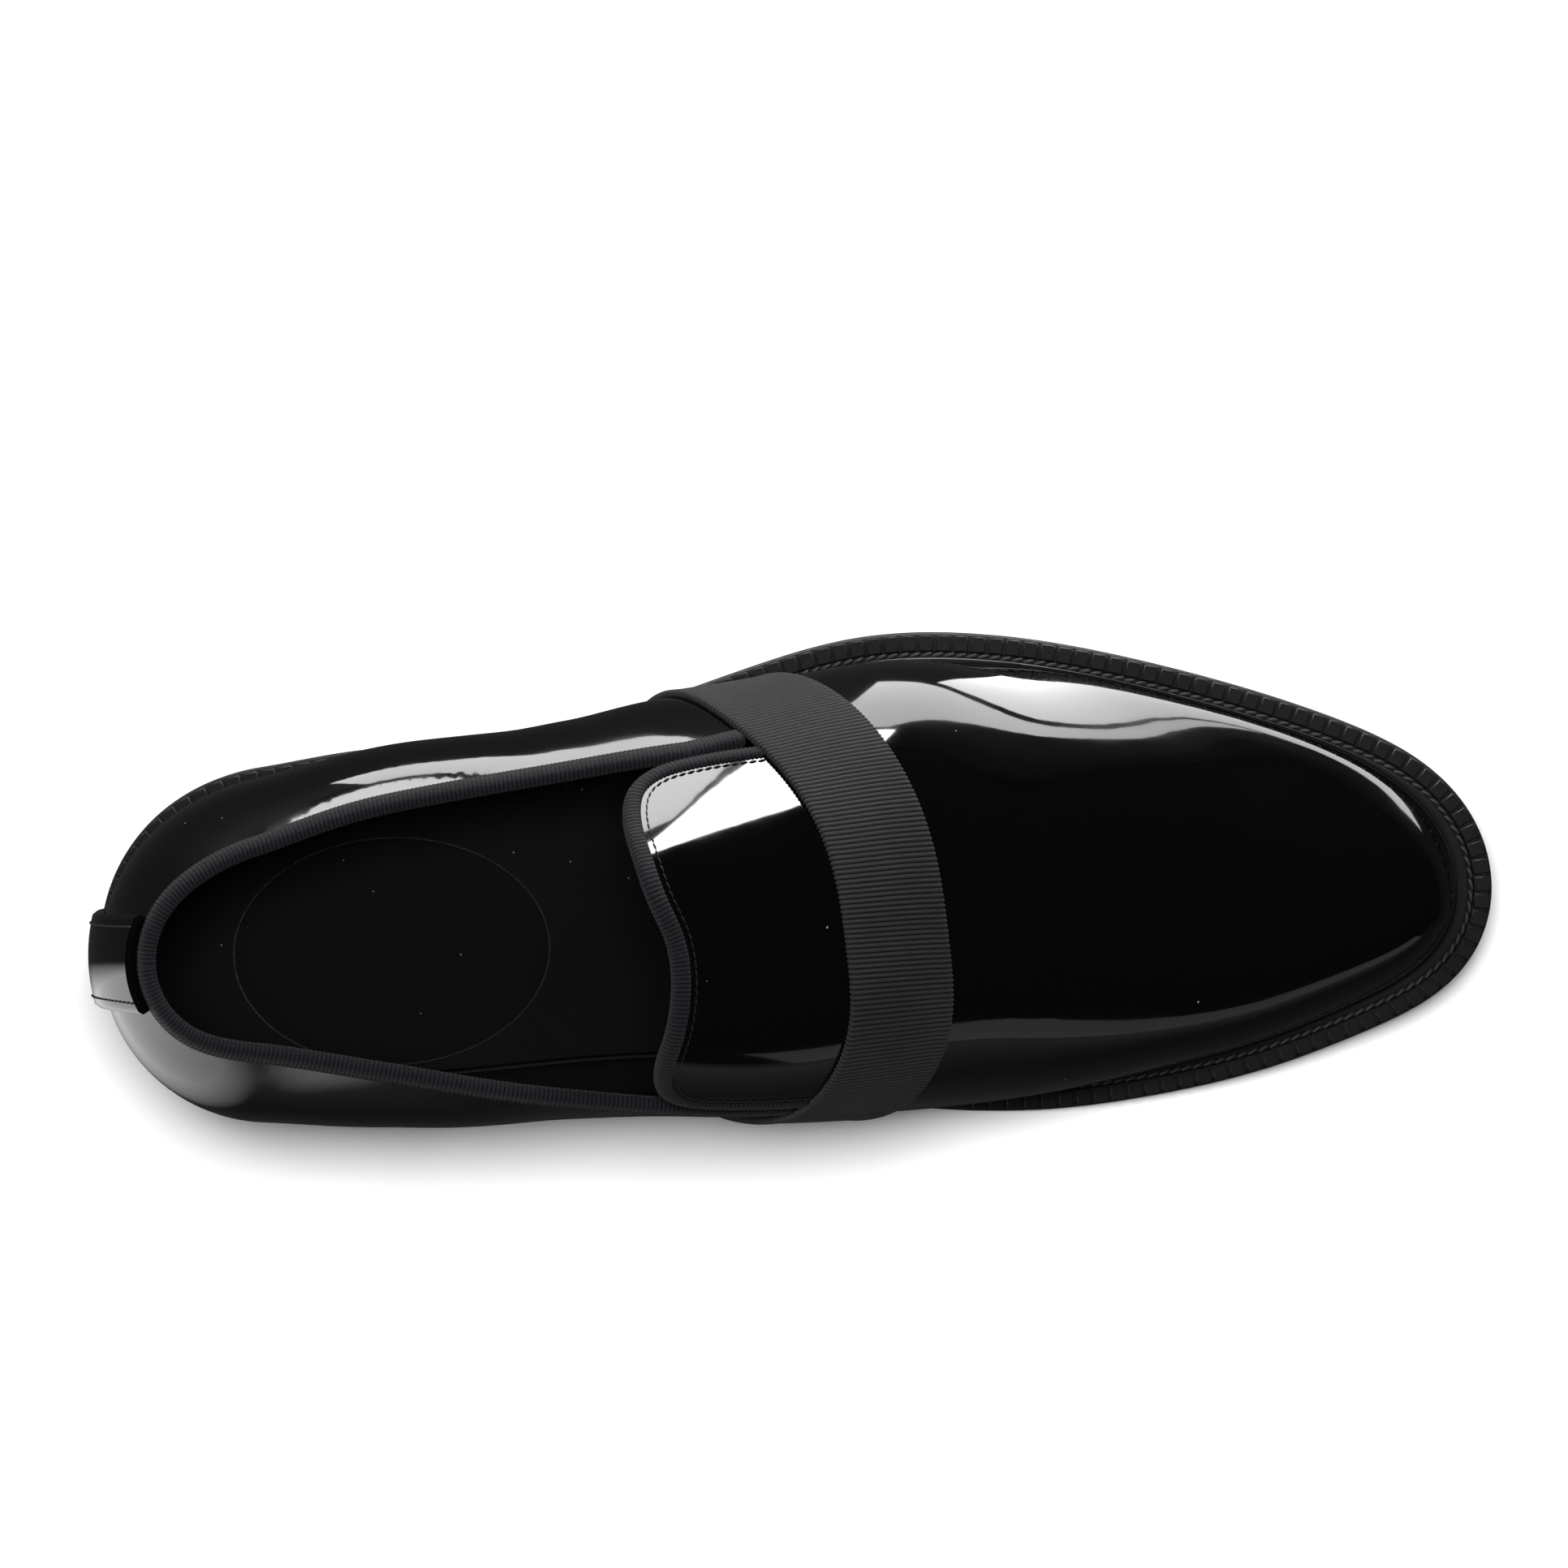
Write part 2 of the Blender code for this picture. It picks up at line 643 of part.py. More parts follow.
def insole(mat):
    """Filler between outsole and foot, stepped over the rand's shelf."""
    margin = margin_of(ring_fine)
    inner = margin + SHELF + GAP
    foot = margin + WALL + 3.0 * GAP
    top = OUTSOLE + WELT
    # From the ball to the toe the upper slopes inwards, and the edge with it.
    along = (ring_fine[:, 0] - BACK) / SOLE_LENGTH
    lean = INSOLE_LEAN * np.clip((along - 0.54) / 0.12, 0.0, 1.0)
    levels = []
    for depth, up in (
        (inner, OUTSOLE + GAP),
        (inner, top + GAP),
        (foot + 0.3 * lean, top + 2.0 * GAP),
        (foot + lean, top + INSOLE - 0.0010),
        (foot + lean + 0.0012, top + INSOLE),
    ):
        pair = plate_lines(depth, 44)
        levels.append(tuple(at_height(line, lambda x, up=up: bottom(x) + up) for line in pair))
    return ladder("insole", levels, mat)


def heel_pad(mat):
    """Oval pad lying on the insole over the heel seat."""
    count = 40
    centre_x = BACK + PAD_ALONG * SOLE_LENGTH
    turn = np.linspace(0.0, 2.0 * math.pi, count, endpoint=False)
    rings = []
    for shrink, up in ((0.0, GAP), (0.0, 0.5 * PAD), (0.0012, PAD)):
        x = centre_x + (0.5 * PAD_LENGTH - shrink) * np.cos(turn)
        y = PAD_ACROSS * BALL_WIDTH + (0.5 * PAD_WIDTH - shrink) * np.sin(turn)
        rings.append(np.column_stack([x, y, feather(x) + INSOLE + up]))
    points = np.vstack(rings)
    faces = []
    for k in range(2):
        for i in range(count):
            j = (i + 1) % count
            faces.append((k * count + i, k * count + j, (k + 1) * count + j, (k + 1) * count + i))
    for k in (0, 2):
        for i in range(count // 2 - 1):
            a = k * count + i
            b = k * count + count - 1 - i
            faces.append((a, a + 1, b - 1, b))
    return solid("heel_pad", points, faces, mat)


collar_line, tongue_line, back_index = edge_lines()


def within(points, outline):
    """Which flat points lie inside an outline, and how far each is from it."""
    inside = np.zeros(len(points), bool)
    near = np.full(len(points), 1e9)
    for p, q in zip(outline, np.roll(outline, -1, axis=0)):
        crosses = (p[1] > points[:, 1]) != (q[1] > points[:, 1])
        rise = q[1] - p[1]
        if abs(rise) > 1e-12:
            cut = p[0] + (points[:, 1] - p[1]) * (q[0] - p[0]) / rise
            inside ^= crosses & (points[:, 0] < cut)
        edge = q - p
        share = np.clip(((points - p) @ edge) / max(edge @ edge, 1e-12), 0.0, 1.0)
        gap = np.linalg.norm(points - (p + share[:, None] * edge), axis=1)
        near = np.minimum(near, gap)
    return inside, near


def upper(mat):
    """The lasted upper as one hollow wall, open at the collar and underneath."""
    # The face is laid flat as a map: a runs along the shoe, b over the rib.
    stations = np.linspace(0.0, 1.0, 241)
    sides = np.linspace(-1.0, 1.0, 61)
    grid = last(stations[:, None], sides[None, :])
    girth = 0.5 * np.linalg.norm(np.diff(grid, axis=1), axis=2).sum(axis=1)
    low = np.linalg.norm(np.diff(grid[:, 15], axis=0), axis=1)
    high = np.linalg.norm(np.diff(grid[:, 45], axis=0), axis=1)
    along = np.concatenate([[0.0], np.cumsum(0.5 * (low + high))])

    def to_map(line):
        a = np.interp(line[:, 0], stations, along)
        return np.stack([a, line[:, 1] * np.interp(line[:, 0], stations, girth)], axis=1)

    def from_map(ab):
        u = np.interp(ab[:, 0], along, stations)
        return np.stack([u, ab[:, 1] / np.maximum(np.interp(u, stations, girth), 1e-9)], axis=1)

    # Border: medial foot, toe, lateral foot, back seam, collar, tongue, seam.
    foot_u = np.linspace(0.0, 1.0, 400)
    foot = resample(np.stack([foot_u, np.ones(400)], axis=1), CELL)
    seam_t = np.linspace(1.0, abs(collar_line[back_index, 1]), 9)
    seam = np.stack([np.zeros(9), seam_t], axis=1)
    lateral = resample(collar_line[: back_index + 1][::-1], 0.7 * CELL)
    medial = -resample(collar_line[back_index:], 0.7 * CELL)
    tongue = resample(tongue_line, 0.45 * CELL)
    mirror = np.array([1.0, -1.0])
    border = [
        foot[:-1] * mirror,
        foot[::-1],
        seam[1:-1],
        lateral,
        tongue[::-1],
        medial[::-1],
        (seam * mirror)[1:-1][::-1],
    ]
    border = np.vstack(border)
    outline = to_map(border)
    count = len(outline)

    # Inner points of an even triangle net, kept clear of the border.
    ab = []
    row = 0
    a = 0.0
    reach = along[-1]
    spread = girth.max()
    while a < reach:
        b = np.arange(-spread, spread, CELL) + (0.5 * CELL if row % 2 else 0.0)
        ab.append(np.stack([np.full_like(b, a), b], axis=1))
        a += CELL * 0.866
        row += 1
    ab = np.vstack(ab)
    inside, near = within(ab, outline)
    ab = ab[inside & (near > 0.5 * CELL)]
    flat = np.vstack([outline, ab])
    ring = list(range(count))
    made = delaunay_2d_cdt([Vector(map(float, p)) for p in flat * 1000.0], [], [ring], 0, 1e-6, True)
    where = np.array([tuple(p) for p in made[0]]) / 1000.0
    faces = np.array(made[2])
    faces = faces[within(where[faces].mean(axis=1), outline)[0]]
    first = [o[0] for o in made[3]]
    ut = np.vstack([border, from_map(ab)])

    # Both sides of the back seam, and the toe's doubled point, are one point.
    owner = {}
    same = []
    for index in first:
        u, t = ut[index]
        key = (round(u, 6), round(abs(t), 6)) if u < 1e-9 else (index,)
        same.append(owner.setdefault(key, index))
    used = sorted(set(same))
    slot = {index: i for i, index in enumerate(used)}
    face = last(ut[used, 0], ut[used, 1])
    normal = last_normal(ut[used, 0], ut[used, 1])
    tip = ut[used, 0] > 1.0 - 1e-9
    normal[tip] = (1.0, 0.0, 0.0)
    inner = face - WALL * normal
    tris = [tuple(slot[same[v]] for v in f) for f in faces]
    tris = [f for f in tris if len(set(f)) == 3]
    total = len(used)
    sides = {}
    for f in tris:
        for k in range(3):
            sides[(f[k], f[(k + 1) % 3])] = True
    walls = []
    for p, q in sides:
        if (q, p) not in sides:
            walls.append((q, p, p + total, q + total))
    skin = tris + [tuple(v + total for v in reversed(f)) for f in tris] + walls
    return solid("upper", np.vstack([face, inner]), skin, mat, 40.0)


def binding(name, line, mat, size):
    """Ribbed ribbon folded over a cut edge: a rounded bar that rides on the
    edge, from the band's rear edge on one side to the other side."""
    fine = resample(line, 0.0004)
    keep = band_place(outer(fine)) < -GAP
    fine = fine[keep]
    path = resample(fine, size)
    face = last(path[:, 0], path[:, 1])
    normal = last_normal(path[:, 0], path[:, 1])
    tangent = np.gradient(face, axis=0)
    tangent = tangent / np.linalg.norm(tangent, axis=1)[:, None]
    away = np.cross(tangent, normal)
    away = away / np.linalg.norm(away, axis=1)[:, None]
    half = 0.5 * BINDING
    tall = BINDING_HEIGHT
    section = (
        (-half, 0.0),
        (-half, 0.55 * tall),
        (-0.45 * half, tall),
        (0.45 * half, tall),
        (half, 0.55 * tall),
        (half, 0.0),
    )
    rows = []
    for across, up in section:
        centre = face - normal * (0.5 * WALL)
        rows.append(centre + normal * across + away * (GAP + up))
    rows = np.stack(rows, axis=1)
    for end in (0, -1):
        over = band_place(rows[end]) + GAP
        pull = np.einsum("j,j->", tangent[end], band_axis())
        rows[end] = rows[end] - tangent[end] * (over / pull)[:, None]
    return solid(name, rows.reshape(-1, 3), swept(rows, False), mat, 50.0)


def band_axis():
    axis = np.array([1.0, -BAND_SLANT, -BAND_LEAN])
    return axis / np.linalg.norm(axis)


def vamp_band(mat):
    """Ribbon across the vamp between two parallel planes, down to the welt."""
    shares = np.linspace(-0.995, 0.995, 400)

    def on_plane(t, place):
        low = np.full_like(t, station(BAND_X - 0.68 * BALL_WIDTH))
        high = np.full_like(t, station(BAND_X + 0.85 * BALL_WIDTH))
        return solve(low, high, lambda u: band_place(last(u, t)) - place)

    mid = on_plane(shares, 0.5 * BAND_WIDTH)
    points = last(mid, shares)
    clear = points[:, 2] - feather(points[:, 0]) > BAND_FOOT
    shares = shares[clear]
    run, want = evenly(points[clear], 0.75 * CELL)
    t = np.interp(want, run, shares)
    rows = []
    lanes = np.linspace(0.0, BAND_WIDTH, 5)
    lines = []
    for place in lanes:
        u = on_plane(t, place)
        face = last(u, t)
        lines.append((face, last_normal(u, t)))
    for face, normal in lines:
        rows.append(face + normal * GAP)
    for k, (face, normal) in reversed(list(enumerate(lines))):
        edge = 0.8 if k in (0, len(lines) - 1) else 1.0
        rows.append(face + normal * (GAP + BAND * edge))
    rows = np.stack(rows, axis=1)
    count, size = rows.shape[:2]
    faces = swept(rows, True)[: (count - 1) * size]
    for i in (0, count - 1):
        for k in range(len(lanes) - 1):
            faces.append((i * size + k, i * size + k + 1, i * size + size - 2 - k, i * size + size - 1 - k))
    return solid("vamp_band", rows.reshape(-1, 3), faces, mat, 40.0)


def heel_tab(mat):
    """Strip down the back seam, its top end against the collar's binding."""
    rim = outer(collar_line)
    centre = rim[back_index, 1]
    low = rim[np.abs(rim[:, 1] - centre) < 0.52 * TAB_WIDTH]
    low = low[low[:, 0] < 0.0, 2].min() - GAP
    seam = np.linspace(abs(collar_line[back_index, 1]), 1.0, 300)
    points = last(np.zeros(300), seam)
    points = points[points[:, 2] < low]
    run = np.concatenate([[0.0], np.cumsum(np.linalg.norm(np.diff(points, axis=0), axis=1))])
    want = np.linspace(0.0, TAB_LENGTH, 10)
    heights = np.interp(want, run, points[:, 2])
    across = np.linspace(-0.5 * TAB_WIDTH, 0.5 * TAB_WIDTH, 7)
    grid_face = []
    grid_normal = []
    for z in heights:
        side = np.where(across >= 0, 1.0, -1.0)
        reach = np.abs(across)

        def t_of(u, z=z, side=side):
            drop = lambda s: z - last(u, side * s)[..., 2]
            return side * solve(np.full_like(u, 0.02), np.full_like(u, 0.995), drop, 30)

        def over(u, side=side, reach=reach):
            return side * (last(u, t_of(u))[..., 1] - centre) - reach

        u = solve(np.zeros(7), np.full(7, station(0.0)), over, 30)
        u = np.where(reach < 1e-9, 0.0, u)
        t = t_of(u)
        grid_face.append(last(u, t))
        grid_normal.append(last_normal(u, t))
    face = np.array(grid_face)
    normal = np.array(grid_normal)
    outer_face = face + normal * (GAP + TAB)
    outer_face[:, 0] = face[:, 0] + normal[:, 0] * (GAP + 0.75 * TAB)
    outer_face[:, -1] = face[:, -1] + normal[:, -1] * (GAP + 0.75 * TAB)
    rows = np.concatenate([face + normal * GAP, outer_face[:, ::-1]], axis=1)
    count, size = rows.shape[:2]
    faces = swept(rows, True)[: (count - 1) * size]
    for i in (0, count - 1):
        for k in range(6):
            faces.append((i * size + k, i * size + k + 1, i * size + size - 2 - k, i * size + size - 1 - k))
    return solid("heel_tab", rows.reshape(-1, 3), faces, mat, 40.0)


for item in list(bpy.data.objects):
    bpy.data.objects.remove(item, do_unlink=True)

patent = material("patent_leather", (0.006, 0.006, 0.007), 0.06)
grosgrain = material("grosgrain_band", (0.020, 0.020, 0.022), 0.62)
ribbon = material("binding_ribbon", (0.017, 0.018, 0.023), 0.60)
rubber = material("sole_rubber", (0.028, 0.028, 0.028), 0.55)
rand_rubber = material("rand_rubber", (0.022, 0.022, 0.022), 0.45)
lining = material("insole_cloth", (0.008, 0.008, 0.008), 0.85)
pad = material("pad_cloth", (0.006, 0.006, 0.006), 0.90)

outsole(rubber)
heel_pieces(rubber, rubber)
welt(rubber)
storm_rand(rand_rubber)
insole(lining)
heel_pad(pad)
upper(patent)
vamp_band(grosgrain)
binding("collar_binding", collar_line[::-1], ribbon, 0.70 * CELL)
binding("tongue_binding", tongue_line[::-1], ribbon, 0.45 * CELL)
heel_tab(patent)
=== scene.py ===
"""Looks of the tuxedo shoe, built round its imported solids.

Metres, +X to the toe, +Y to the outer (lateral) side, +Z up, as in the CAD
frame. The sections follow the shoe from the ground up: outsole, heel, welt,
rand, insole, upper, band, bindings and tab, and then the studio.
"""
import math

import bmesh
import bpy
import numpy as np
from mathutils import Matrix, Vector
from mathutils.geometry import delaunay_2d_cdt


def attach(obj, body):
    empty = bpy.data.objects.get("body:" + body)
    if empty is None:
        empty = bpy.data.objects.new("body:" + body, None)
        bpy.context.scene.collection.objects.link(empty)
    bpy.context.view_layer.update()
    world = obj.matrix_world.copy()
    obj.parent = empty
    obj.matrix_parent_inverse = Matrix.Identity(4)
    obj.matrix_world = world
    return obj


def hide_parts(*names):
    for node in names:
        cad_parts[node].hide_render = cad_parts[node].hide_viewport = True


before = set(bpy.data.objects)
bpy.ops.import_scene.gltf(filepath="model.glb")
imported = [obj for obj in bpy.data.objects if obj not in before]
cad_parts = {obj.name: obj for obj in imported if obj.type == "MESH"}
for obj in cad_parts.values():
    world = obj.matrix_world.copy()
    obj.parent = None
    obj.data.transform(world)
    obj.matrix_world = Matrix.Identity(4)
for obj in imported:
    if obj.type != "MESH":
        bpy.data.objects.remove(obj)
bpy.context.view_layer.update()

# Outsole: one moulded rubber plate on the last's outline, with the arch over
# the waist, the flat under the ball and the toe spring. It is cemented under
# the welt, and its top edge shows as a thin lip.

# Sizes of the last and the sole
SOLE_LENGTH = 0.302
BALL_WIDTH = 0.1045
INSTEP = 0.076
HEEL_CENTRE = 0.036
HEEL_LENGTH = 0.075
HEEL_RISE = 0.022
TOE_SPRING = 0.013
BALL_REST = 0.185
BALL_FLAT = 0.020
TOE_ROUND = 0.104
HEEL_ROUND = 0.036
TOE_BOX = 0.045

# Sizes of the bottom pieces
OUTSOLE = 0.0045
OUTSOLE_LIP = 0.0006
WELT = 0.0036
BLOCK = 0.0035
NOTCH_PITCH = 0.00387
NOTCH_DEPTH = 0.0006
GROOVE = 0.0010
GROOVE_DEPTH = 0.0005
RAND_LIP = 0.0010
SHELF = 0.0055
TOP_LIFT = 0.006
HEEL_SETBACK = 0.0012
HEEL_TAPER = 0.0018
INSOLE = 0.0035
INSOLE_LEAN = 0.0027
PAD_ALONG = 0.210
PAD_ACROSS = -0.018
PAD_LENGTH = 0.068
PAD_WIDTH = 0.049
PAD = 0.002

# Sizes of the upper and the trim
WALL = 0.0022
BINDING = 0.0036
BINDING_HEIGHT = 0.0036
SLIT_UNDER_BAND = 0.007
SLIT_FADE = 0.06
BAND_WIDTH = 0.0238
BAND = 0.0011
BAND_ALONG = 0.536
BAND_UP = 1.118
BAND_SLANT = -0.11
BAND_LEAN = 0.75
BAND_FOOT = 0.0045
TAB_WIDTH = 0.019
TAB_LENGTH = 0.040
TAB = 0.0024

# Clearance between neighbours
GAP = 0.0003

BACK = -HEEL_CENTRE
TIP = BACK + SOLE_LENGTH
BAND_X = BACK + BAND_ALONG * SOLE_LENGTH
BAND_Z = BAND_UP * INSTEP
SLIT = 2.0 * BINDING_HEIGHT + 5.0 * GAP

# Sole's edge: along is a share of SOLE_LENGTH from the back; centre and half
# are shares of BALL_WIDTH, before the toe and heel are rounded off.
SOLE = [
    # along, centre, half
    (0.00, 0.000, 0.356),
    (0.12, 0.005, 0.364),
    (0.19, 0.015, 0.380),
    (0.26, 0.019, 0.378),
    (0.33, 0.032, 0.380),
    (0.40, 0.059, 0.408),
    (0.47, 0.080, 0.449),
    (0.54, 0.092, 0.486),
    (0.61, 0.084, 0.503),
    (0.68, 0.069, 0.495),
    (0.76, 0.053, 0.477),
    (0.84, 0.041, 0.466),
    (0.92, 0.035, 0.474),
    (1.00, 0.020, 0.535),
]

# Width of the rand's raised lip, between the stitch groove and the upper, in
# shares of BALL_WIDTH.
LIP = [
    # along, lateral, medial
    (0.00, 0.0065, 0.0065),
    (0.15, 0.0065, 0.0065),
    (0.40, 0.0085, 0.0065),
    (0.52, 0.0175, 0.0085),
    (0.60, 0.0150, 0.0105),
    (0.69, 0.0045, 0.0115),
    (0.80, 0.0035, 0.0115),
    (0.90, 0.0070, 0.0140),
    (0.95, 0.0160, 0.0180),
    (1.00, 0.0245, 0.0245),
]


def spline(xs, ys):
    """Natural cubic spline through a table's two columns."""
    xs = np.asarray(xs, float)
    ys = np.asarray(ys, float)
    n = len(xs)
    h = np.diff(xs)
    a = np.zeros((n, n))
    r = np.zeros(n)
    a[0, 0] = 1.0
    a[-1, -1] = 1.0
    for i in range(1, n - 1):
        a[i, i - 1] = h[i - 1]
        a[i, i] = 2.0 * (h[i - 1] + h[i])
        a[i, i + 1] = h[i]
        r[i] = 6.0 * ((ys[i + 1] - ys[i]) / h[i] - (ys[i] - ys[i - 1]) / h[i - 1])
    m = np.linalg.solve(a, r)

    def value(x):
        x = np.clip(x, xs[0], xs[-1])
        i = np.clip(np.searchsorted(xs, x, side="right") - 1, 0, n - 2)
        step = h[i]
        left = x - xs[i]
        right = xs[i + 1] - x
        bend = (m[i] * right**3 + m[i + 1] * left**3) / (6.0 * step)
        low = (ys[i] / step - m[i] * step / 6.0) * right
        high = (ys[i + 1] / step - m[i + 1] * step / 6.0) * left
        return bend + low + high

    return value


def columns(table, size=1.0):
    """One spline for each column after the first, scaled by a named size."""
    rows = np.asarray(table, float)
    along = BACK + rows[:, 0] * SOLE_LENGTH
    return [spline(along, rows[:, k] * size) for k in range(1, rows.shape[1])]


sole_centre, sole_half = columns(SOLE, BALL_WIDTH)
lip_lateral, lip_medial = columns(LIP, BALL_WIDTH)


def bottom(x):
    """Height of the outsole's underside: heel flat, arch, ball flat, toe spring."""
    x = np.asarray(x, float) - BACK
    t = np.clip((x - HEEL_LENGTH) / (BALL_REST - HEEL_LENGTH), 0.0, 1.0)
    arch = HEEL_RISE * (1.0 - t**3 * (t * (6.0 * t - 15.0) + 10.0))
    front = np.clip((x - BALL_REST - BALL_FLAT) / (SOLE_LENGTH - BALL_REST - BALL_FLAT), 0.0, None)
    return arch + TOE_SPRING * front**2.2


def feather(x):
    """Top of the welt, where the upper meets the bottom."""
    return bottom(x) + OUTSOLE + WELT


def unit(vectors):
    """Vectors scaled to a length of one."""
    return vectors / np.linalg.norm(vectors, axis=-1)[..., None]


def run_along(points):
    """How far along a polyline each of its points lies."""
    step = np.linalg.norm(np.diff(points, axis=0), axis=1)
    return np.concatenate([[0.0], np.cumsum(step)])


def sole_ring(count):
    """Points of the sole's edge from the toe tip round by the lateral side,
    evenly spaced, with outward normals."""
    turn = np.linspace(0.0, 2.0 * math.pi, 2881)[:-1]
    x = 0.5 * (TIP + BACK) + 0.5 * SOLE_LENGTH * np.cos(turn)
    toe = np.clip((TIP - x) / TOE_ROUND, 0.0, 1.0)
    heel = np.clip((x - BACK) / HEEL_ROUND, 0.0, 1.0)
    close = np.sqrt(np.clip(1.0 - (1.0 - toe) ** 2, 0.0, 1.0))
    close = close * np.sqrt(np.clip(1.0 - (1.0 - heel) ** 2, 0.0, 1.0))
    side = np.where(turn <= math.pi, 1.0, -1.0)
    y = sole_centre(x) + side * sole_half(x) * close
    ring = np.stack([x, y], axis=1)
    closed = np.vstack([ring, ring[:1]])
    run = run_along(closed)
    want = np.linspace(0.0, run[-1], count, endpoint=False)
    x = np.interp(want, run, closed[:, 0])
    y = np.interp(want, run, closed[:, 1])
    ring = np.stack([x, y], axis=1)
    tangent = unit(np.roll(ring, -1, axis=0) - np.roll(ring, 1, axis=0))
    normal = np.stack([tangent[:, 1], -tangent[:, 0]], axis=1)
    return ring, normal, run[-1]


def margin_of(ring):
    """How far inside the sole's edge the upper meets the welt, at each point:
    the outsole's lip, the blocks, the stitch groove and the rand's lip."""
    x = ring[:, 0]
    side = (ring[:, 1] - sole_centre(x)) / np.maximum(sole_half(x), 1e-6)
    part = 0.5 + 0.5 * np.clip(side * 1.5, -1.0, 1.0)
    lip = part * lip_lateral(x) + (1.0 - part) * lip_medial(x)
    return OUTSOLE_LIP + BLOCK + GAP + GROOVE + GAP + lip


def inset(ring, normal, depth):
    """A ring moved inwards by a depth, which may differ from point to point."""
    return ring - normal * np.asarray(depth)[..., None]


def branches(ring):
    """A ring as its lateral and medial edges, each read by its station angle."""
    back = int(np.argmin(ring[:, 0]))
    tip = int(np.argmax(ring[:, 0]))
    ring = np.roll(ring, -tip, axis=0)
    back = (back - tip) % len(ring)
    lateral = ring[: back + 1][::-1]
    medial = np.vstack([ring[back:], ring[:1]])
    x0 = lateral[0, 0]
    x1 = lateral[-1, 0]

    def edge(points):
        share = np.clip(1.0 - 2.0 * (points[:, 0] - x0) / (x1 - x0), -1.0, 1.0)
        angle = np.arccos(share)
        return lambda a: np.interp(a, angle, points[:, 1])

    return x0, x1, edge(lateral), edge(medial)


ring_fine, normal_fine, perimeter = sole_ring(2880)


def new_group(name, kind, inputs, outputs):
    """An empty node group with its sockets, and its two end nodes. An input is
    given with its value where it is a number, or else with its kind."""
    group = bpy.data.node_groups.new(name, kind)
    for label, value in inputs:
        number = isinstance(value, float)
        socket_type = "NodeSocket" + ("Float" if number else value)
        socket = group.interface.new_socket(label, in_out="INPUT", socket_type=socket_type)
        if number:
            socket.default_value = value
    for label, value in outputs:
        group.interface.new_socket(label, in_out="OUTPUT", socket_type="NodeSocket" + value)
    return group, group.nodes.new("NodeGroupInput"), group.nodes.new("NodeGroupOutput")


def add_node(tree, kind, settings=None, **links):
    """A node with its settings, and its inputs set to values or linked."""
    node = tree.nodes.new(kind)
    for key, value in (settings or {}).items():
        setattr(node, key, value)
    for key, value in links.items():
        socket = node.inputs[int(key[1:])] if key[1:].isdigit() else node.inputs[key.replace("_", " ")]
        if isinstance(value, bpy.types.NodeSocket):
            tree.links.new(value, socket)
        else:
            socket.default_value = value
    return node


def maths(tree, operation, *values):
    """The result of a maths node on values or sockets."""
    inputs = {f"_{k}": value for k, value in enumerate(values)}
    return add_node(tree, "ShaderNodeMath", {"operation": operation}, **inputs).outputs[0]


def remap(tree, value, from_low, from_high, to_low, to_high):
    """A value carried from one range to another, and held at its ends."""
    ends = {"From_Min": from_low, "From_Max": from_high, "To_Min": to_low, "To_Max": to_high}
    return add_node(tree, "ShaderNodeMapRange", Value=value, **ends).outputs[0]


def mix_colour(tree, share, low, high):
    """A colour between two, each a socket or three numbers."""
    low, high = (one if isinstance(one, bpy.types.NodeSocket) else (*one, 1.0) for one in (low, high))
    return add_node(tree, "ShaderNodeMix", {"data_type": "RGBA"}, _0=share, _6=low, _7=high).outputs[2]


def grain_group():
    """Fine grain of rubber, cloth or leather: a bumped normal and a shade that
    varies by a little."""
    group, into, out = new_group(
        "fine_grain",
        "ShaderNodeTree",
        (("Scale", 900.0), ("Depth", 0.2), ("Spread", 0.2)),
        (("Normal", "Vector"), ("Shade", "Float")),
    )
    place = add_node(group, "ShaderNodeTexCoord").outputs["Object"]
    fine = add_node(group, "ShaderNodeTexNoise", Vector=place, Scale=into.outputs["Scale"], Detail=4.0)
    broad = add_node(group, "ShaderNodeTexNoise", Vector=place, Scale=38.0, Detail=3.0)
    depth = into.outputs["Depth"]
    bump = add_node(group, "ShaderNodeBump", Height=fine.outputs["Fac"], Strength=depth, Distance=0.0004)
    group.links.new(bump.outputs["Normal"], out.inputs["Normal"])
    low = maths(group, "SUBTRACT", 1.0, into.outputs["Spread"])
    group.links.new(remap(group, broad.outputs["Fac"], 0.35, 0.65, low, 1.0), out.inputs["Shade"])
    return group


def dust_group():
    """Sparse specks of dust: a mask that is one on a speck."""
    inputs = (("Scale", 260.0), ("Size", 0.05))
    group, into, out = new_group("dust_specks", "ShaderNodeTree", inputs, (("Mask", "Float"),))
    place = add_node(group, "ShaderNodeTexCoord").outputs["Object"]
    cells = add_node(group, "ShaderNodeTexVoronoi", Vector=place, Scale=into.outputs["Scale"])
    pick = add_node(group, "ShaderNodeSeparateColor", Color=cells.outputs["Color"])
    rare = maths(group, "GREATER_THAN", pick.outputs[0], 0.93)
    close = maths(group, "LESS_THAN", cells.outputs["Distance"], into.outputs["Size"])
    group.links.new(maths(group, "MULTIPLY", rare, close), out.inputs["Mask"])
    return group


GRAIN = grain_group()
DUST = dust_group()


def place_group(tree, group, **values):
    """A node of a material that stands for a group, with its inputs set."""
    node = tree.nodes.new("ShaderNodeGroup")
    node.node_tree = group
    for key, value in values.items():
        node.inputs[key].default_value = value
    return node


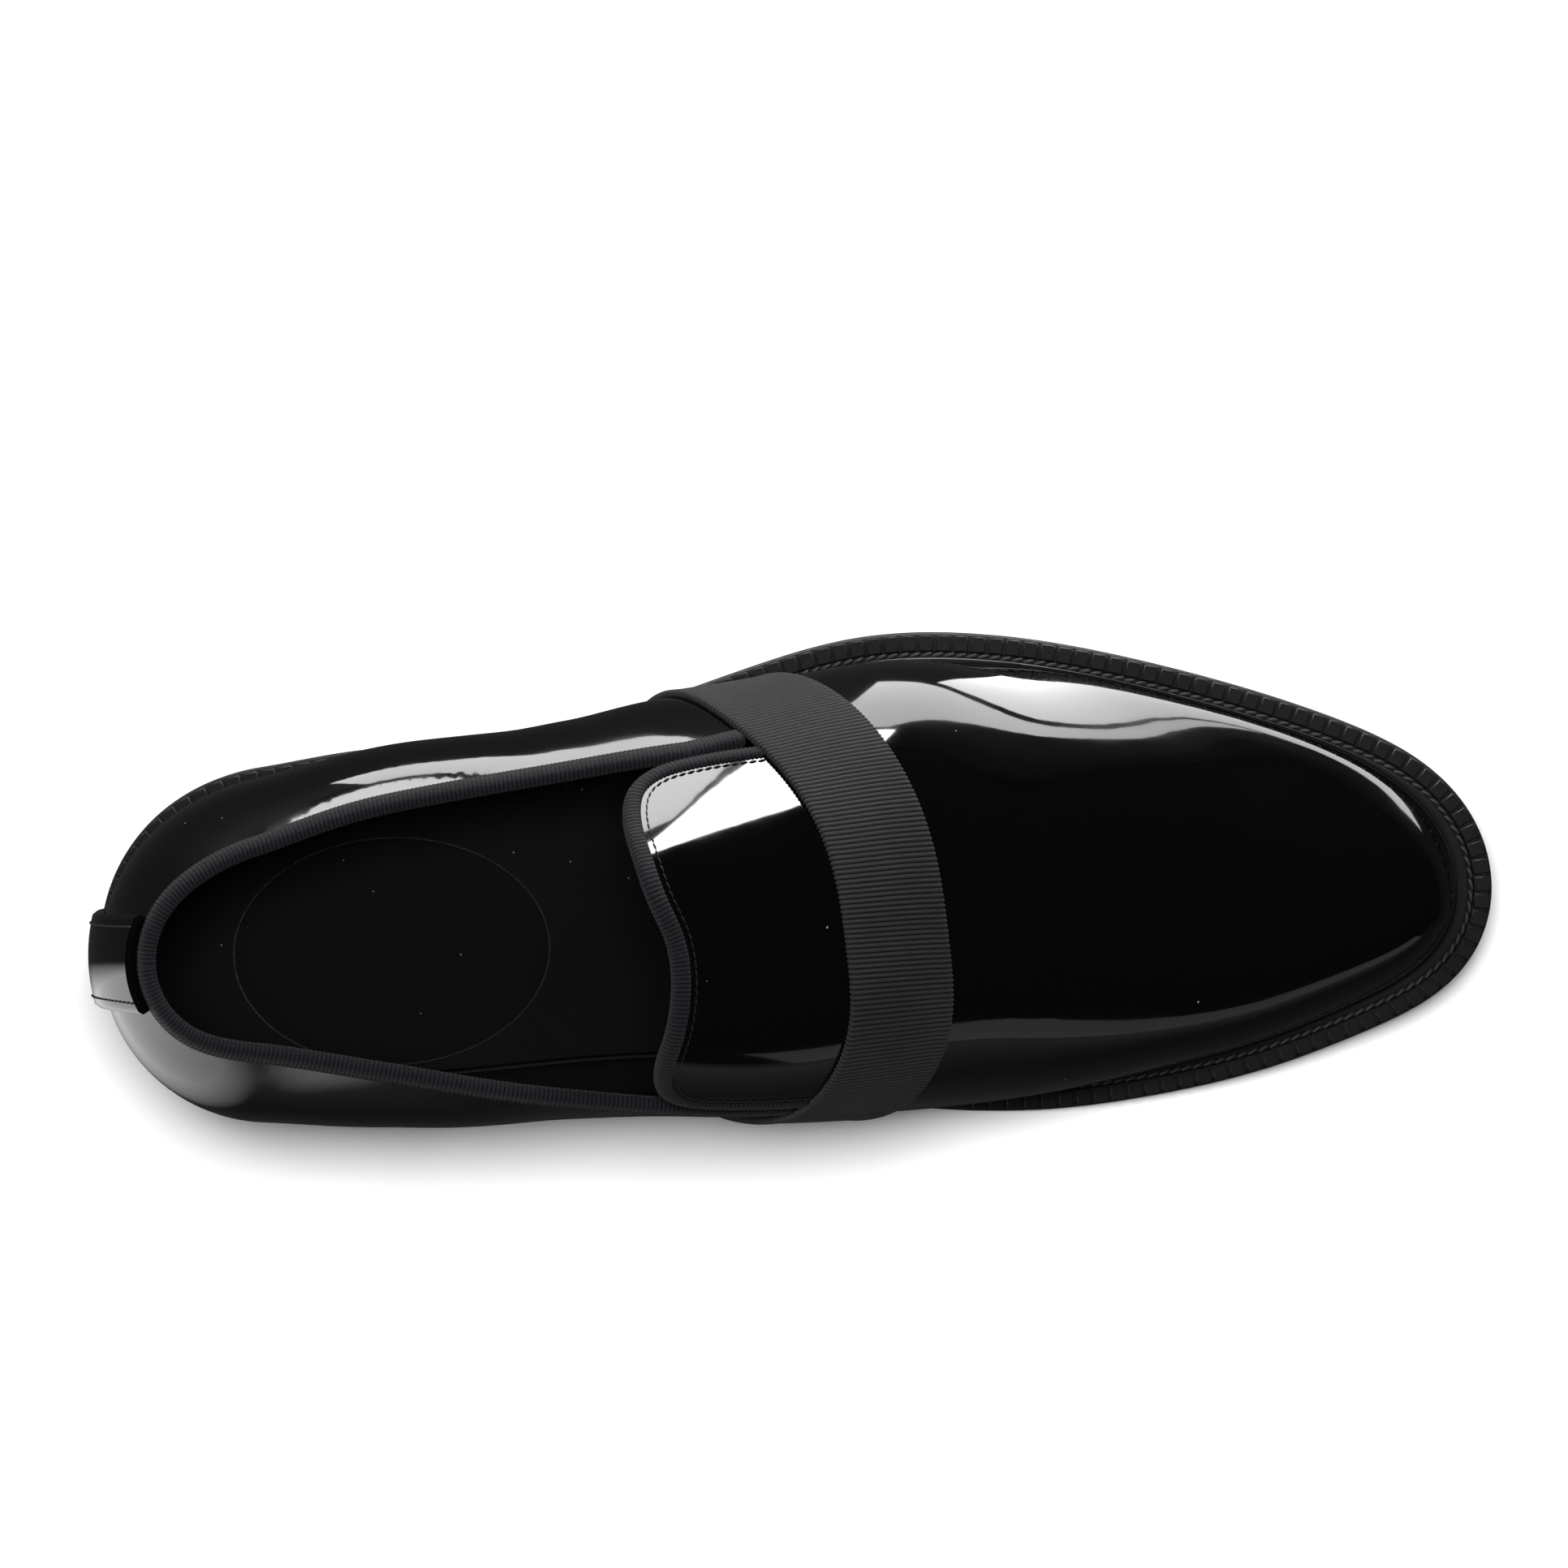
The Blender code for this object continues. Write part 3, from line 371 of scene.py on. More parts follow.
def finish_material(name, colour, roughness, coat=0.0, sheen=0.0, specular=0.5):
    """A material with its Principled shader, and the tree to add to."""
    mat = bpy.data.materials.new(name)
    mat.use_nodes = True
    shader = mat.node_tree.nodes["Principled BSDF"]
    shader.inputs["Base Color"].default_value = (*colour, 1.0)
    shader.inputs["Roughness"].default_value = roughness
    shader.inputs["Coat Weight"].default_value = coat
    shader.inputs["Coat Roughness"].default_value = 0.03
    shader.inputs["Sheen Weight"].default_value = sheen
    shader.inputs["Sheen Roughness"].default_value = 0.4
    shader.inputs["Specular IOR Level"].default_value = specular
    return mat, mat.node_tree, shader


def grained_material(name, colour, roughness, scale, depth, spread, dusty=0.0, **more):
    """A matt material: its colour shaded by the grain, with specks of dust."""
    mat, tree, shader = finish_material(name, colour, roughness, **more)
    grain = place_group(tree, GRAIN, Scale=scale, Depth=depth, Spread=spread)
    dust = place_group(tree, DUST, Scale=330.0, Size=0.07)
    shaded = mix_colour(tree, grain.outputs["Shade"], [0.55 * c for c in colour], colour)
    amount = maths(tree, "MULTIPLY", dust.outputs["Mask"], dusty)
    speck = mix_colour(tree, amount, shaded, (0.22, 0.22, 0.22))
    tree.links.new(speck, shader.inputs["Base Color"])
    tree.links.new(grain.outputs["Normal"], shader.inputs["Normal"])
    return mat


def show(name, data):
    """A new object in the scene for a mesh, a light or a camera."""
    obj = bpy.data.objects.new(name, data)
    bpy.context.scene.collection.objects.link(obj)
    return obj


def show_bmesh(name, bm):
    """A new object in the scene from a bmesh, its faces turned outwards."""
    bmesh.ops.recalc_face_normals(bm, faces=bm.faces)
    mesh = bpy.data.meshes.new(name)
    bm.to_mesh(mesh)
    bm.free()
    return show(name, mesh)


def smooth_mesh(name, points, faces):
    """A smooth mesh whose faces are turned outwards."""
    mesh = bpy.data.meshes.new(name)
    mesh.from_pydata([tuple(map(float, p)) for p in points], [], [tuple(map(int, f)) for f in faces])
    bm = bmesh.new()
    bm.from_mesh(mesh)
    bmesh.ops.recalc_face_normals(bm, faces=bm.faces)
    bm.to_mesh(mesh)
    bm.free()
    mesh.shade_smooth()
    return mesh


def shoe_piece(name, points, faces, mats, nodes=(), sharp=35.0, picks=None):
    """A finished piece of the shoe: mesh, smooth shading, body, and the
    solids that it stands for. picks gives each face's place in mats."""
    mesh = smooth_mesh(name, points, faces)
    if picks is not None:
        mesh.polygons.foreach_set("material_index", np.asarray(picks, np.int32))
    for mat in mats:
        mesh.materials.append(mat)
    mesh.set_sharp_from_angle(angle=math.radians(sharp))
    return wear(show(name, mesh), nodes)


def wear(obj, nodes=()):
    """Puts a finished piece on the shoe's body."""
    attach(obj, "root")
    if nodes:
        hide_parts(*nodes)
    return obj


def swept(rows, closed_path, closed_section=True):
    """Faces of a section swept along a path; rows is (stations, section, 3)."""
    count, size = rows.shape[:2]
    faces = []
    for i in range(count if closed_path else count - 1):
        j = (i + 1) % count
        for k in range(size if closed_section else size - 1):
            n = (k + 1) % size
            faces.append((i * size + k, i * size + n, j * size + n, j * size + k))
    if not closed_path:
        faces.append(tuple(range(size)))
        faces.append(tuple((count - 1) * size + k for k in range(size)))
    return faces


def plate_lines(depth, count, stop=None):
    """Lateral and medial edge lines of the sole's outline inset by depth."""
    x0, x1, lateral, medial = branches(inset(ring_fine, normal_fine, depth))
    hi = math.pi if stop is None else math.acos(1.0 - 2.0 * (stop - x0) / (x1 - x0))
    angle = np.linspace(0.0, hi, count)
    blunt = 0.012
    angle[0] = blunt
    if stop is None:
        angle[-1] = math.pi - blunt
    x = x0 + (x1 - x0) * 0.5 * (1.0 - np.cos(angle))
    return np.stack([x, lateral(angle)], axis=1), np.stack([x, medial(angle)], axis=1)


def over_sole(line, up):
    """A line seen from above, laid at a height over the outsole's underside."""
    return np.column_stack([line, bottom(line[:, 0]) + up])


def sole_levels(steps, count):
    """The two edge lines of a plate at each step: (depth inside the sole's edge,
    height over its underside)."""
    return [tuple(over_sole(line, up) for line in plate_lines(depth, count)) for depth, up in steps]


def stack(name, rings, mats, nodes, sharp=35.0):
    """A piece from closed rings of as many points each, one over the other. The
    first and the last ring are closed by rungs across them."""
    size = len(rings[0])
    faces = []
    for k in range(0, (len(rings) - 1) * size, size):
        for i in range(size):
            j = (i + 1) % size
            faces.append((k + i, k + j, k + size + j, k + size + i))
    for k in (0, (len(rings) - 1) * size):
        for i in range(size // 2 - 1):
            faces.append((k + i, k + i + 1, k + size - 2 - i, k + size - 1 - i))
    return shoe_piece(name, np.vstack(rings), faces, mats, nodes, sharp)


def plate(name, levels, mats, nodes, sharp=35.0):
    """A plate of the sole: each level is its (lateral, medial) edge lines."""
    rings = [np.vstack([lateral, medial[::-1]]) for lateral, medial in levels]
    return stack(name, rings, mats, nodes, sharp)


SOLE_MAT = grained_material("sole_rubber", (0.010, 0.010, 0.0103), 0.50, 1500.0, 0.25, 0.35, dusty=0.3)

OUTSOLE_STEPS = (
    # depth, up
    (0.0009, 0.0),
    (0.0003, 0.0002),
    (0.0, 0.0009),
    (0.0, OUTSOLE - 0.0007),
    (0.0002, OUTSOLE - 0.0002),
    (0.0006, OUTSOLE),
)
levels = sole_levels(OUTSOLE_STEPS, 240)
plate("outsole_plate", levels, [SOLE_MAT], ["outsole"], 50.0)

# Heel: a stacked block nailed under the heel seat, with a harder rubber lift
# under it. Both are trimmed together, so they taper to the floor as one, and
# the breast is cut square.


def heel_layer(name, low, high, node):
    """One layer of the heel between two heights, its edges eased."""
    made = []
    ease = 0.0003
    for z, ease_in in ((low, ease), (low + ease, 0.0), (high - ease, 0.0), (high, ease)):
        depth = HEEL_SETBACK + HEEL_TAPER * (1.0 - z / HEEL_RISE) + ease_in
        pair = plate_lines(depth, 90, stop=BACK + HEEL_LENGTH - 0.5 * depth)
        made.append(tuple(np.column_stack([line, np.full(len(line), z)]) for line in pair))
    return plate(name, made, [HEEL_MAT], [node], 30.0)


HEEL_MAT = grained_material("heel_rubber", (0.013, 0.013, 0.013), 0.42, 900.0, 0.15, 0.4, dusty=0.3)
heel_layer("heel_stack", TOP_LIFT + GAP, HEEL_RISE - GAP, "heel_block")
heel_layer("heel_lift", 0.0, TOP_LIFT, "top_lift")

# Welt: a moulded strip that is stitched round the upper's foot. Its top is cut
# into blocks by narrow notches, which run on round the heel.
WELT_BLOCK_EASE = 0.00022
WELT_NOTCH = 0.0008

rim_ring, rim_normal, _ = sole_ring(1400)
strip_out = OUTSOLE_LIP + NOTCH_DEPTH
strip_in = OUTSOLE_LIP + BLOCK
strip_top = OUTSOLE + WELT - 0.0002 - 1.6 * NOTCH_DEPTH


def rim_line(depth, up):
    """A line round the sole: inside its edge, and over its underside."""
    return over_sole(inset(rim_ring, rim_normal, depth), up)


def rim_piece(name, section, mat, nodes, sharp):
    """A piece whose section, given as (depth, height) pairs, runs round the
    sole."""
    rows = np.stack([rim_line(depth, up) for depth, up in section], axis=1)
    return shoe_piece(name, rows.reshape(-1, 3), swept(rows, True), [mat], nodes, sharp)


strip = (
    # depth, up
    (strip_out, OUTSOLE + GAP),
    (strip_out, strip_top),
    (strip_in, strip_top),
    (strip_in, OUTSOLE + GAP),
)
rim_piece("welt_strip", strip, SOLE_MAT, (), 35.0)


def end_tree(tree, made, into, out):
    """The end of a geometry tree: its pieces realised, in the given finish."""
    real = add_node(tree, "GeometryNodeRealizeInstances", Geometry=made)
    finish = into.outputs["Finish"]
    painted = add_node(tree, "GeometryNodeSetMaterial", Geometry=real.outputs[0], Material=finish)
    tree.links.new(painted.outputs[0], out.inputs[0])
    return tree


def row_tree():
    """Geometry Nodes: copies of one piece at even steps along a line, each
    turned to the line, stood on its facing attribute, and slanted."""
    tree, into, out = new_group(
        "row_along_line",
        "GeometryNodeTree",
        (("Line", "Geometry"), ("Pitch", 0.004), ("Slant", 0.0), ("Piece", "Object"), ("Finish", "Material")),
        (("Row", "Geometry"),),
    )
    curve = add_node(tree, "GeometryNodeMeshToCurve", Mesh=into.outputs["Line"])
    step = {"Curve": curve.outputs[0], "Length": into.outputs["Pitch"]}
    even = add_node(tree, "GeometryNodeResampleCurve", {"mode": "LENGTH"}, **step)
    facing = add_node(tree, "GeometryNodeInputNamedAttribute", {"data_type": "FLOAT_VECTOR"}, Name="facing")
    tangent = add_node(tree, "GeometryNodeInputTangent").outputs[0]
    align = "FunctionNodeAlignRotationToVector"
    stood = add_node(tree, align, {"axis": "Z"}, Vector=facing.outputs["Attribute"]).outputs[0]
    turned = add_node(tree, align, {"axis": "X", "pivot_axis": "Z"}, Rotation=stood, Vector=tangent)
    slant = into.outputs["Slant"]
    lean = add_node(tree, "FunctionNodeAxisAngleToRotation", Axis=(0.0, 0.0, 1.0), Angle=slant)
    pair = {"Rotation": turned.outputs[0], "Rotate_By": lean.outputs[0]}
    both = add_node(tree, "FunctionNodeRotateRotation", {"rotation_space": "LOCAL"}, **pair)
    piece = add_node(tree, "GeometryNodeObjectInfo", Object=into.outputs["Piece"], As_Instance=True)
    placed = add_node(
        tree,
        "GeometryNodeInstanceOnPoints",
        Points=even.outputs[0],
        Instance=piece.outputs["Geometry"],
        Rotation=both.outputs[0],
    )
    return end_tree(tree, placed.outputs[0], into, out)


ROW = row_tree()


def bake_nodes(obj, tree, name, **values):
    """Runs a tree on an object once and keeps the result as a plain mesh."""
    modifier = obj.modifiers.new("nodes", "NODES")
    modifier.node_group = tree
    for item in tree.interface.items_tree:
        if item.item_type == "SOCKET" and item.in_out == "INPUT" and item.name in values:
            modifier[item.identifier] = values[item.name]
    graph = bpy.context.evaluated_depsgraph_get()
    mesh = bpy.data.meshes.new_from_object(obj.evaluated_get(graph))
    mesh.name = name
    bpy.data.objects.remove(obj)
    return show(name, mesh)


def guide_line(points, facing, closed):
    """A line of edges that carries which way each of its points faces."""
    count = len(points)
    edges = [(i, (i + 1) % count) for i in range(count if closed else count - 1)]
    mesh = bpy.data.meshes.new("guide")
    mesh.from_pydata([tuple(map(float, p)) for p in points], edges, [])
    attribute = mesh.attributes.new("facing", "FLOAT_VECTOR", "POINT")
    attribute.data.foreach_set("vector", np.asarray(facing, np.float32).ravel())
    return show("guide", mesh)


def row_of(name, points, facing, closed, pitch, slant, piece, mat, nodes=()):
    """A row of one piece along a line, as a finished piece of the shoe."""
    guide = guide_line(points, facing, closed)
    made = bake_nodes(guide, ROW, name, Pitch=pitch, Slant=slant, Piece=piece, Finish=mat)
    made.data.shade_smooth()
    made.data.set_sharp_from_angle(angle=math.radians(40.0))
    return wear(made, nodes)


def eased_block(size, ease):
    """A small block with eased edges, standing on its origin."""
    bm = bmesh.new()
    bmesh.ops.create_cube(bm, size=1.0)
    bmesh.ops.scale(bm, vec=Vector(size), verts=bm.verts)
    bmesh.ops.translate(bm, vec=Vector((0.0, 0.0, 0.5 * size[2])), verts=bm.verts)
    bmesh.ops.bevel(bm, geom=list(bm.edges), offset=ease, segments=1, affect="EDGES")
    return show_bmesh("block", bm)


blocks = int(round(perimeter / NOTCH_PITCH))
block = eased_block((NOTCH_PITCH - WELT_NOTCH, BLOCK - 0.0001, WELT - 0.0002 - GAP), WELT_BLOCK_EASE)
line = rim_line(OUTSOLE_LIP + 0.5 * BLOCK, OUTSOLE + GAP)
length = np.linalg.norm(np.roll(line, -1, axis=0) - line, axis=1).sum()
up = np.tile((0.0, 0.0, 1.0), (len(line), 1))
row_of("welt_blocks", line, up, True, length / (blocks + 0.01), 0.0, block, SOLE_MAT, ["welt"])
bpy.data.objects.remove(block)

# Storm rand: a rubber lip between the blocks and the upper that keeps water
# out. The welt's lockstitch lies in a groove along its outer side.
RAND_MAT = grained_material("rand_rubber", (0.010, 0.010, 0.010), 0.36, 700.0, 0.10, 0.4, dusty=0.3)
margin = margin_of(rim_ring)
start = OUTSOLE_LIP + BLOCK + GAP
lip_out = start + GROOVE
lip_in = margin - GAP
top = OUTSOLE + WELT
RAND_TURNS = 7
section = [
    # depth, up
    (start, OUTSOLE + GAP),
    (start, top - GROOVE_DEPTH),
    (lip_out - 0.0002, top - GROOVE_DEPTH),
]
for turn in np.linspace(0.0, math.pi, RAND_TURNS):
    share = 0.5 - 0.5 * math.cos(turn)
    section.append((lip_out + share * (lip_in - lip_out), top + RAND_LIP * math.sin(turn) ** 0.5))
section += [(margin + SHELF, top), (margin + SHELF, OUTSOLE + GAP)]
rim_piece("rand", section, RAND_MAT, ["storm_rand"], 45.0)

STITCH_PITCH = 0.0025
STITCH_SLANT = 0.32
THREAD_MAT = grained_material("thread", (0.035, 0.035, 0.036), 0.55, 4000.0, 0.5, 0.3)


def stitch(size, thick):
    """One stitch: a short plump thread whose ends dive into their holes."""
    rings = 5
    around = 6
    bm = bmesh.new()
    grid = []
    for i in range(rings):
        share = i / (rings - 1)
        x = (share - 0.5) * size
        lift = math.sin(math.pi * share)
        radius = thick * (0.30 + 0.20 * lift)
        centre = thick * 0.55 * (lift - 0.45)
        turns = [2.0 * math.pi * k / around for k in range(around)]
        grid.append([bm.verts.new((x, radius * math.cos(a), centre + radius * math.sin(a))) for a in turns])
    for a, b in zip(grid, grid[1:]):
        for k in range(around):
            n = (k + 1) % around
            bm.faces.new((a[k], b[k], b[n], a[n]))
    bm.faces.new(grid[0])
    bm.faces.new(grid[-1][::-1])
    return show_bmesh("stitch", bm)


piece = stitch(STITCH_PITCH * 0.92, 0.0007)
line = rim_line(start + 0.45 * GROOVE, top - GROOVE_DEPTH + 0.0002)
row_of("welt_stitches", line, up, True, STITCH_PITCH, STITCH_SLANT, piece, THREAD_MAT)
bpy.data.objects.remove(piece)

# Insole: the sock of black lining leather on its filler, which the foot rests
# on. It is cupped a little at its edge, where it meets the lining.
INSOLE_MAT = grained_material("insole_leather", (0.0042, 0.0042, 0.0044), 0.62, 1300.0, 0.35, 0.3, dusty=0.35)
margin = margin_of(ring_fine)
inner = margin + SHELF + GAP
foot = margin + WALL + 3.0 * GAP
# From the ball to the toe the upper slopes inwards, and the edge with it.
along = (ring_fine[:, 0] - BACK) / SOLE_LENGTH
lean = INSOLE_LEAN * np.clip((along - 0.54) / 0.12, 0.0, 1.0)
INSOLE_STEPS = (
    # depth, up
    (inner, OUTSOLE + GAP),
    (inner, top + GAP),
    (foot + 0.3 * lean, top + 2.0 * GAP),
    (foot + lean, top + INSOLE - 0.0010),
    (foot + lean + 0.0004, top + INSOLE - 0.0003),
    (foot + lean + 0.0014, top + INSOLE),
)
plate("sock", sole_levels(INSOLE_STEPS, 180), [INSOLE_MAT], ["insole"])

# Heel pad: an oval of thin foam under cloth, stuck on the sock. It is left
# bare of any print.
PAD_BLACK = (0.0036, 0.0036, 0.0038)
PAD_MAT = grained_material("pad_cloth", PAD_BLACK, 0.80, 1900.0, 0.5, 0.3, dusty=0.35, sheen=0.10)
PAD_EDGE = (
    # in from the rim, up
    (0.0, GAP),
    (0.0, 0.35 * PAD),
    (0.0004, 0.62 * PAD),
    (0.0014, 0.84 * PAD),
    (0.0032, 0.95 * PAD),
    (0.0065, PAD),
)
centre_x = BACK + PAD_ALONG * SOLE_LENGTH
centre_y = PAD_ACROSS * BALL_WIDTH
turn = np.linspace(0.0, 2.0 * math.pi, 160, endpoint=False)
rings = []
for back_off, up in PAD_EDGE:
    x = centre_x + (0.5 * PAD_LENGTH - back_off) * np.cos(turn)
    y = centre_y + (0.5 * PAD_WIDTH - back_off) * np.sin(turn)
    rings.append(np.column_stack([x, y, feather(x) + INSOLE + up]))
pad = stack("heel_cushion", rings, [PAD_MAT], ["heel_pad"], 60.0)

# Upper: patent leather lasted in one piece over a lining, from the toe back to
# the seam behind the heel, with the tongue that stands behind the band. It is
# pulled under the last and cemented to the rand's shelf. Its form is the
# last's own: ribs that rise from the foot line to the ridge.
# Ribs of the last: ridge is the crest's place across, a share of BALL_WIDTH;
# rise is its height over the foot line, a share of INSTEP; bulges, shoulders
# and crowns are shares of the rib's own half width at the foot, lateral (l)
# and medial (m).
RIBS = [
    # along, ridge, rise, bulge_l, bulge_m, shoulder_l, shoulder_m, crown_l, crown_m
    (0.00, 0.004, 1.080, 0.130, 0.130, 0.62, 0.62, 0.24, 0.24),
    (0.12, 0.014, 1.080, 0.190, 0.190, 0.36, 0.24, 0.14, 0.12),
    (0.22, 0.018, 1.060, 0.300, 0.260, 0.38, 0.38, 0.16, 0.16),
    (0.32, 0.010, 1.010, 0.330, 0.310, 0.62, 0.82, 0.28, 0.38),
    (0.40, 0.000, 0.985, 0.230, 0.310, 0.75, 1.12, 0.37, 0.58),
    (0.46, -0.010, 0.985, 0.125, 0.290, 0.79, 1.16, 0.39, 0.61),
    (0.54, -0.020, 0.945, 0.060, 0.220, 0.81, 1.06, 0.39, 0.55),
    (0.61, -0.030, 0.800, 0.020, 0.130, 0.79, 0.94, 0.40, 0.48),
    (0.68, -0.055, 0.615, -0.090, 0.060, 0.70, 0.88, 0.36, 0.43),
    (0.76, -0.070, 0.445, -0.160, 0.000, 0.64, 0.81, 0.32, 0.40),
    (0.84, -0.060, 0.350, -0.190, -0.030, 0.60, 0.75, 0.29, 0.37),
    (0.92, -0.035, 0.315, -0.190, -0.070, 0.58, 0.71, 0.28, 0.35),
    (1.00, 0.000, 0.310, -0.160, -0.100, 0.62, 0.68, 0.30, 0.33),
]

# Levels of a rib's control points, as shares of its rise.
LEVELS = (0.0, 0.05, 0.16, 0.41, 0.75, 1.0)

# Collar: height of the leather's cut edge over the floor, in shares of INSTEP.
COLLAR = [
    # along, lateral, medial
    (0.00, 1.110, 1.110),
    (0.06, 1.085, 1.085),
    (0.14, 1.010, 1.025),
    (0.24, 0.960, 0.985),
    (0.34, 0.925, 0.930),
    (0.43, 0.864, 0.846),
    (0.52, 0.782, 0.740),
]

# Leather edge of the tongue, seen from above: along is a share of SOLE_LENGTH,
# across a share of BALL_WIDTH.
TONGUE = [
    # along, across
    (0.520, -0.334),
    (0.468, -0.333),
    (0.438, -0.327),
    (0.421, -0.318),
    (0.411, -0.299),
    (0.409, -0.268),
    (0.416, -0.201),
    (0.423, -0.124),
    (0.425, -0.048),
    (0.421, 0.028),
    (0.411, 0.100),
    (0.401, 0.190),
    (0.395, 0.266),
    (0.398, 0.302),
    (0.408, 0.326),
    (0.425, 0.341),
    (0.452, 0.353),
    (0.500, 0.364),
]
foot_ring = inset(ring_fine, normal_fine, margin_of(ring_fine))
FOOT_BACK, FOOT_TIP, foot_lateral, foot_medial = branches(foot_ring)
FAN = -FOOT_BACK
collar_lateral, collar_medial = columns(COLLAR, INSTEP)
rib_columns = columns(RIBS)
ridge_at, rise_at = rib_columns[:2]


def basis(t, count, degree=3):
    """Clamped uniform B-spline basis, one column for each control point."""
    inner = np.linspace(0.0, 1.0, count - degree + 1)
    knots = np.concatenate([np.zeros(degree), inner, np.ones(degree)])
    t = np.clip(t, 0.0, 1.0 - 1e-12)
    b = [((t >= knots[i]) & (t < knots[i + 1])).astype(float) for i in range(len(knots) - 1)]
    for d in range(1, degree + 1):
        fresh = []
        for i in range(len(knots) - 1 - d):
            left = knots[i + d] - knots[i]
            right = knots[i + d + 1] - knots[i + 1]
            term = np.zeros_like(t)
            if left > 0:
                term = term + (t - knots[i]) / left * b[i]
            if right > 0:
                term = term + (knots[i + d + 1] - t) / right * b[i + 1]
            fresh.append(term)
        b = fresh
    return np.stack(b, axis=-1)


def last(u, t):
    """Outer face of the upper's last: u from the back seam (0) to the toe (1),
    t from the medial foot (-1) over the ridge (0) to the lateral foot (1)."""
    u, t = np.broadcast_arrays(np.asarray(u, float), np.asarray(t, float))
    t = np.where(u < 0, -t, t)
    angle = math.pi * np.abs(u)
    x = FOOT_BACK + (FOOT_TIP - FOOT_BACK) * 0.5 * (1.0 - np.cos(angle))
    g = x / FAN
    eased = np.where(g < 1.0, (-(g**4) + 6.0 * g**2 + 8.0 * g + 3.0) / 16.0, g)
    crest_x = np.where(g < 1.0, FAN * eased, x)
    crest_y = ridge_at(crest_x) * BALL_WIDTH
    toe = np.clip((FOOT_TIP - x) / TOE_BOX, 0.0, 1.0)
    rise = rise_at(x) * INSTEP * np.sqrt(np.clip(1.0 - (1.0 - toe) ** 2.5, 0.0, 1.0))
    # The two sides of a rib grow alike towards the back seam, where they meet.
    apart = np.clip((x - FOOT_BACK) / FAN, 0.0, 1.0)
    apart = 0.5 * apart * apart * (3.0 - 2.0 * apart)
    shares = []
    for side in (1, 0):
        one = np.ones_like(x)
        own = [rib_columns[k + side](x) for k in (2, 4, 6)]
        other = [rib_columns[k + 1 - side](x) for k in (2, 4, 6)]
        bulge, shoulder, crown = ((0.5 + apart) * a + (0.5 - apart) * b for a, b in zip(own, other))
        low = np.where(bulge > 0, 0.75, 0.22) * bulge
        shares.append([one, one, 1.0 + low, 1.0 + bulge, shoulder, crown])
    share = np.stack(shares[0] + [np.zeros_like(x)] + shares[1][::-1], axis=-1)
    level = np.array(LEVELS + (1.0,) + LEVELS[::-1])
    reach = [foot_medial(angle) - crest_y] * 6 + [np.zeros_like(x)] + [foot_lateral(angle) - crest_y] * 6
    across = np.stack(reach, axis=-1)
    weight = basis(0.5 * (t + 1.0), 13)
    px = crest_x + (x - crest_x) * np.sum(weight * share, axis=-1)
    py = crest_y + np.sum(weight * share * across, axis=-1)
    pz = feather(px) + GAP + rise * np.sum(weight * level, axis=-1)
    return np.stack([px, py, pz], axis=-1)


def last_normal(u, t):
    """Outward normal of the last's face."""
    step = 1e-4
    t = np.clip(t, -1.0 + step, 1.0 - step)
    u = np.minimum(u, 1.0 - 4e-3)
    along = last(u + step, t) - last(u - step, t)
    around = last(u, t + step) - last(u, t - step)
    n = unit(np.cross(along, around))
    n[..., 2] = np.where(np.abs(t) > 1.0 - 2.0 * step, 0.0, n[..., 2])
    return unit(n)


def path_frame(line):
    """Points of a (u, t) line on the last, with the face's outward normals, the
    line's tangents and the way over the face that is square to both."""
    face = outer(line)
    normal = last_normal(line[:, 0], line[:, 1])
    tangent = unit(np.gradient(face, axis=0))
    return face, normal, tangent, unit(np.cross(tangent, normal))


def solve(low, high, target, rounds=44):
    """Bisection for every entry: target rises through zero from low to high."""
    low = np.array(low, float)
    high = np.array(high, float)
    for _ in range(rounds):
        mid = 0.5 * (low + high)
        up = target(mid) > 0
        high = np.where(up, mid, high)
        low = np.where(up, low, mid)
    return 0.5 * (low + high)


def station(x):
    """u of a rib in the forepart or waist, where ribs run straight across."""
    share = 1.0 - 2.0 * (np.asarray(x, float) - FOOT_BACK) / (FOOT_TIP - FOOT_BACK)
    return np.arccos(np.clip(share, -1.0, 1.0)) / math.pi


def collar_t(u, side):
    """t of the collar's leather edge on one side (+1 lateral, -1 medial)."""
    height = collar_lateral if side > 0 else collar_medial

    def over(s):
        p = last(u, side * s)
        return height(p[..., 0]) - p[..., 2]

    return side * solve(np.full_like(u, 0.02), np.full_like(u, 0.9), over)


def tongue_ut(x, y):
    """u and t of a point of the tongue given from above."""
    u = station(x)
    side = np.where(y >= ridge_at(x) * BALL_WIDTH, 1.0, -1.0)

    def over(s):
        return side * (last(u, side * s)[..., 1] - y)

    return u, side * solve(np.zeros_like(u), np.full_like(u, 0.62), over)


def band_place(p):
    """Signed distance of a point in front of the band's rear plane."""
    lean = math.sqrt(1.0 + BAND_SLANT**2 + BAND_LEAN**2)
    face = p[..., 0] - BAND_X - BAND_SLANT * p[..., 1] - BAND_LEAN * (p[..., 2] - BAND_Z)
    return face / lean


def evenly(points, size):
    """Run along a polyline at its points, and at even cuts of about a size."""
    run = run_along(points)
    count = max(2, int(math.ceil(run[-1] / size)))
    return run, np.linspace(0.0, run[-1], count + 1)


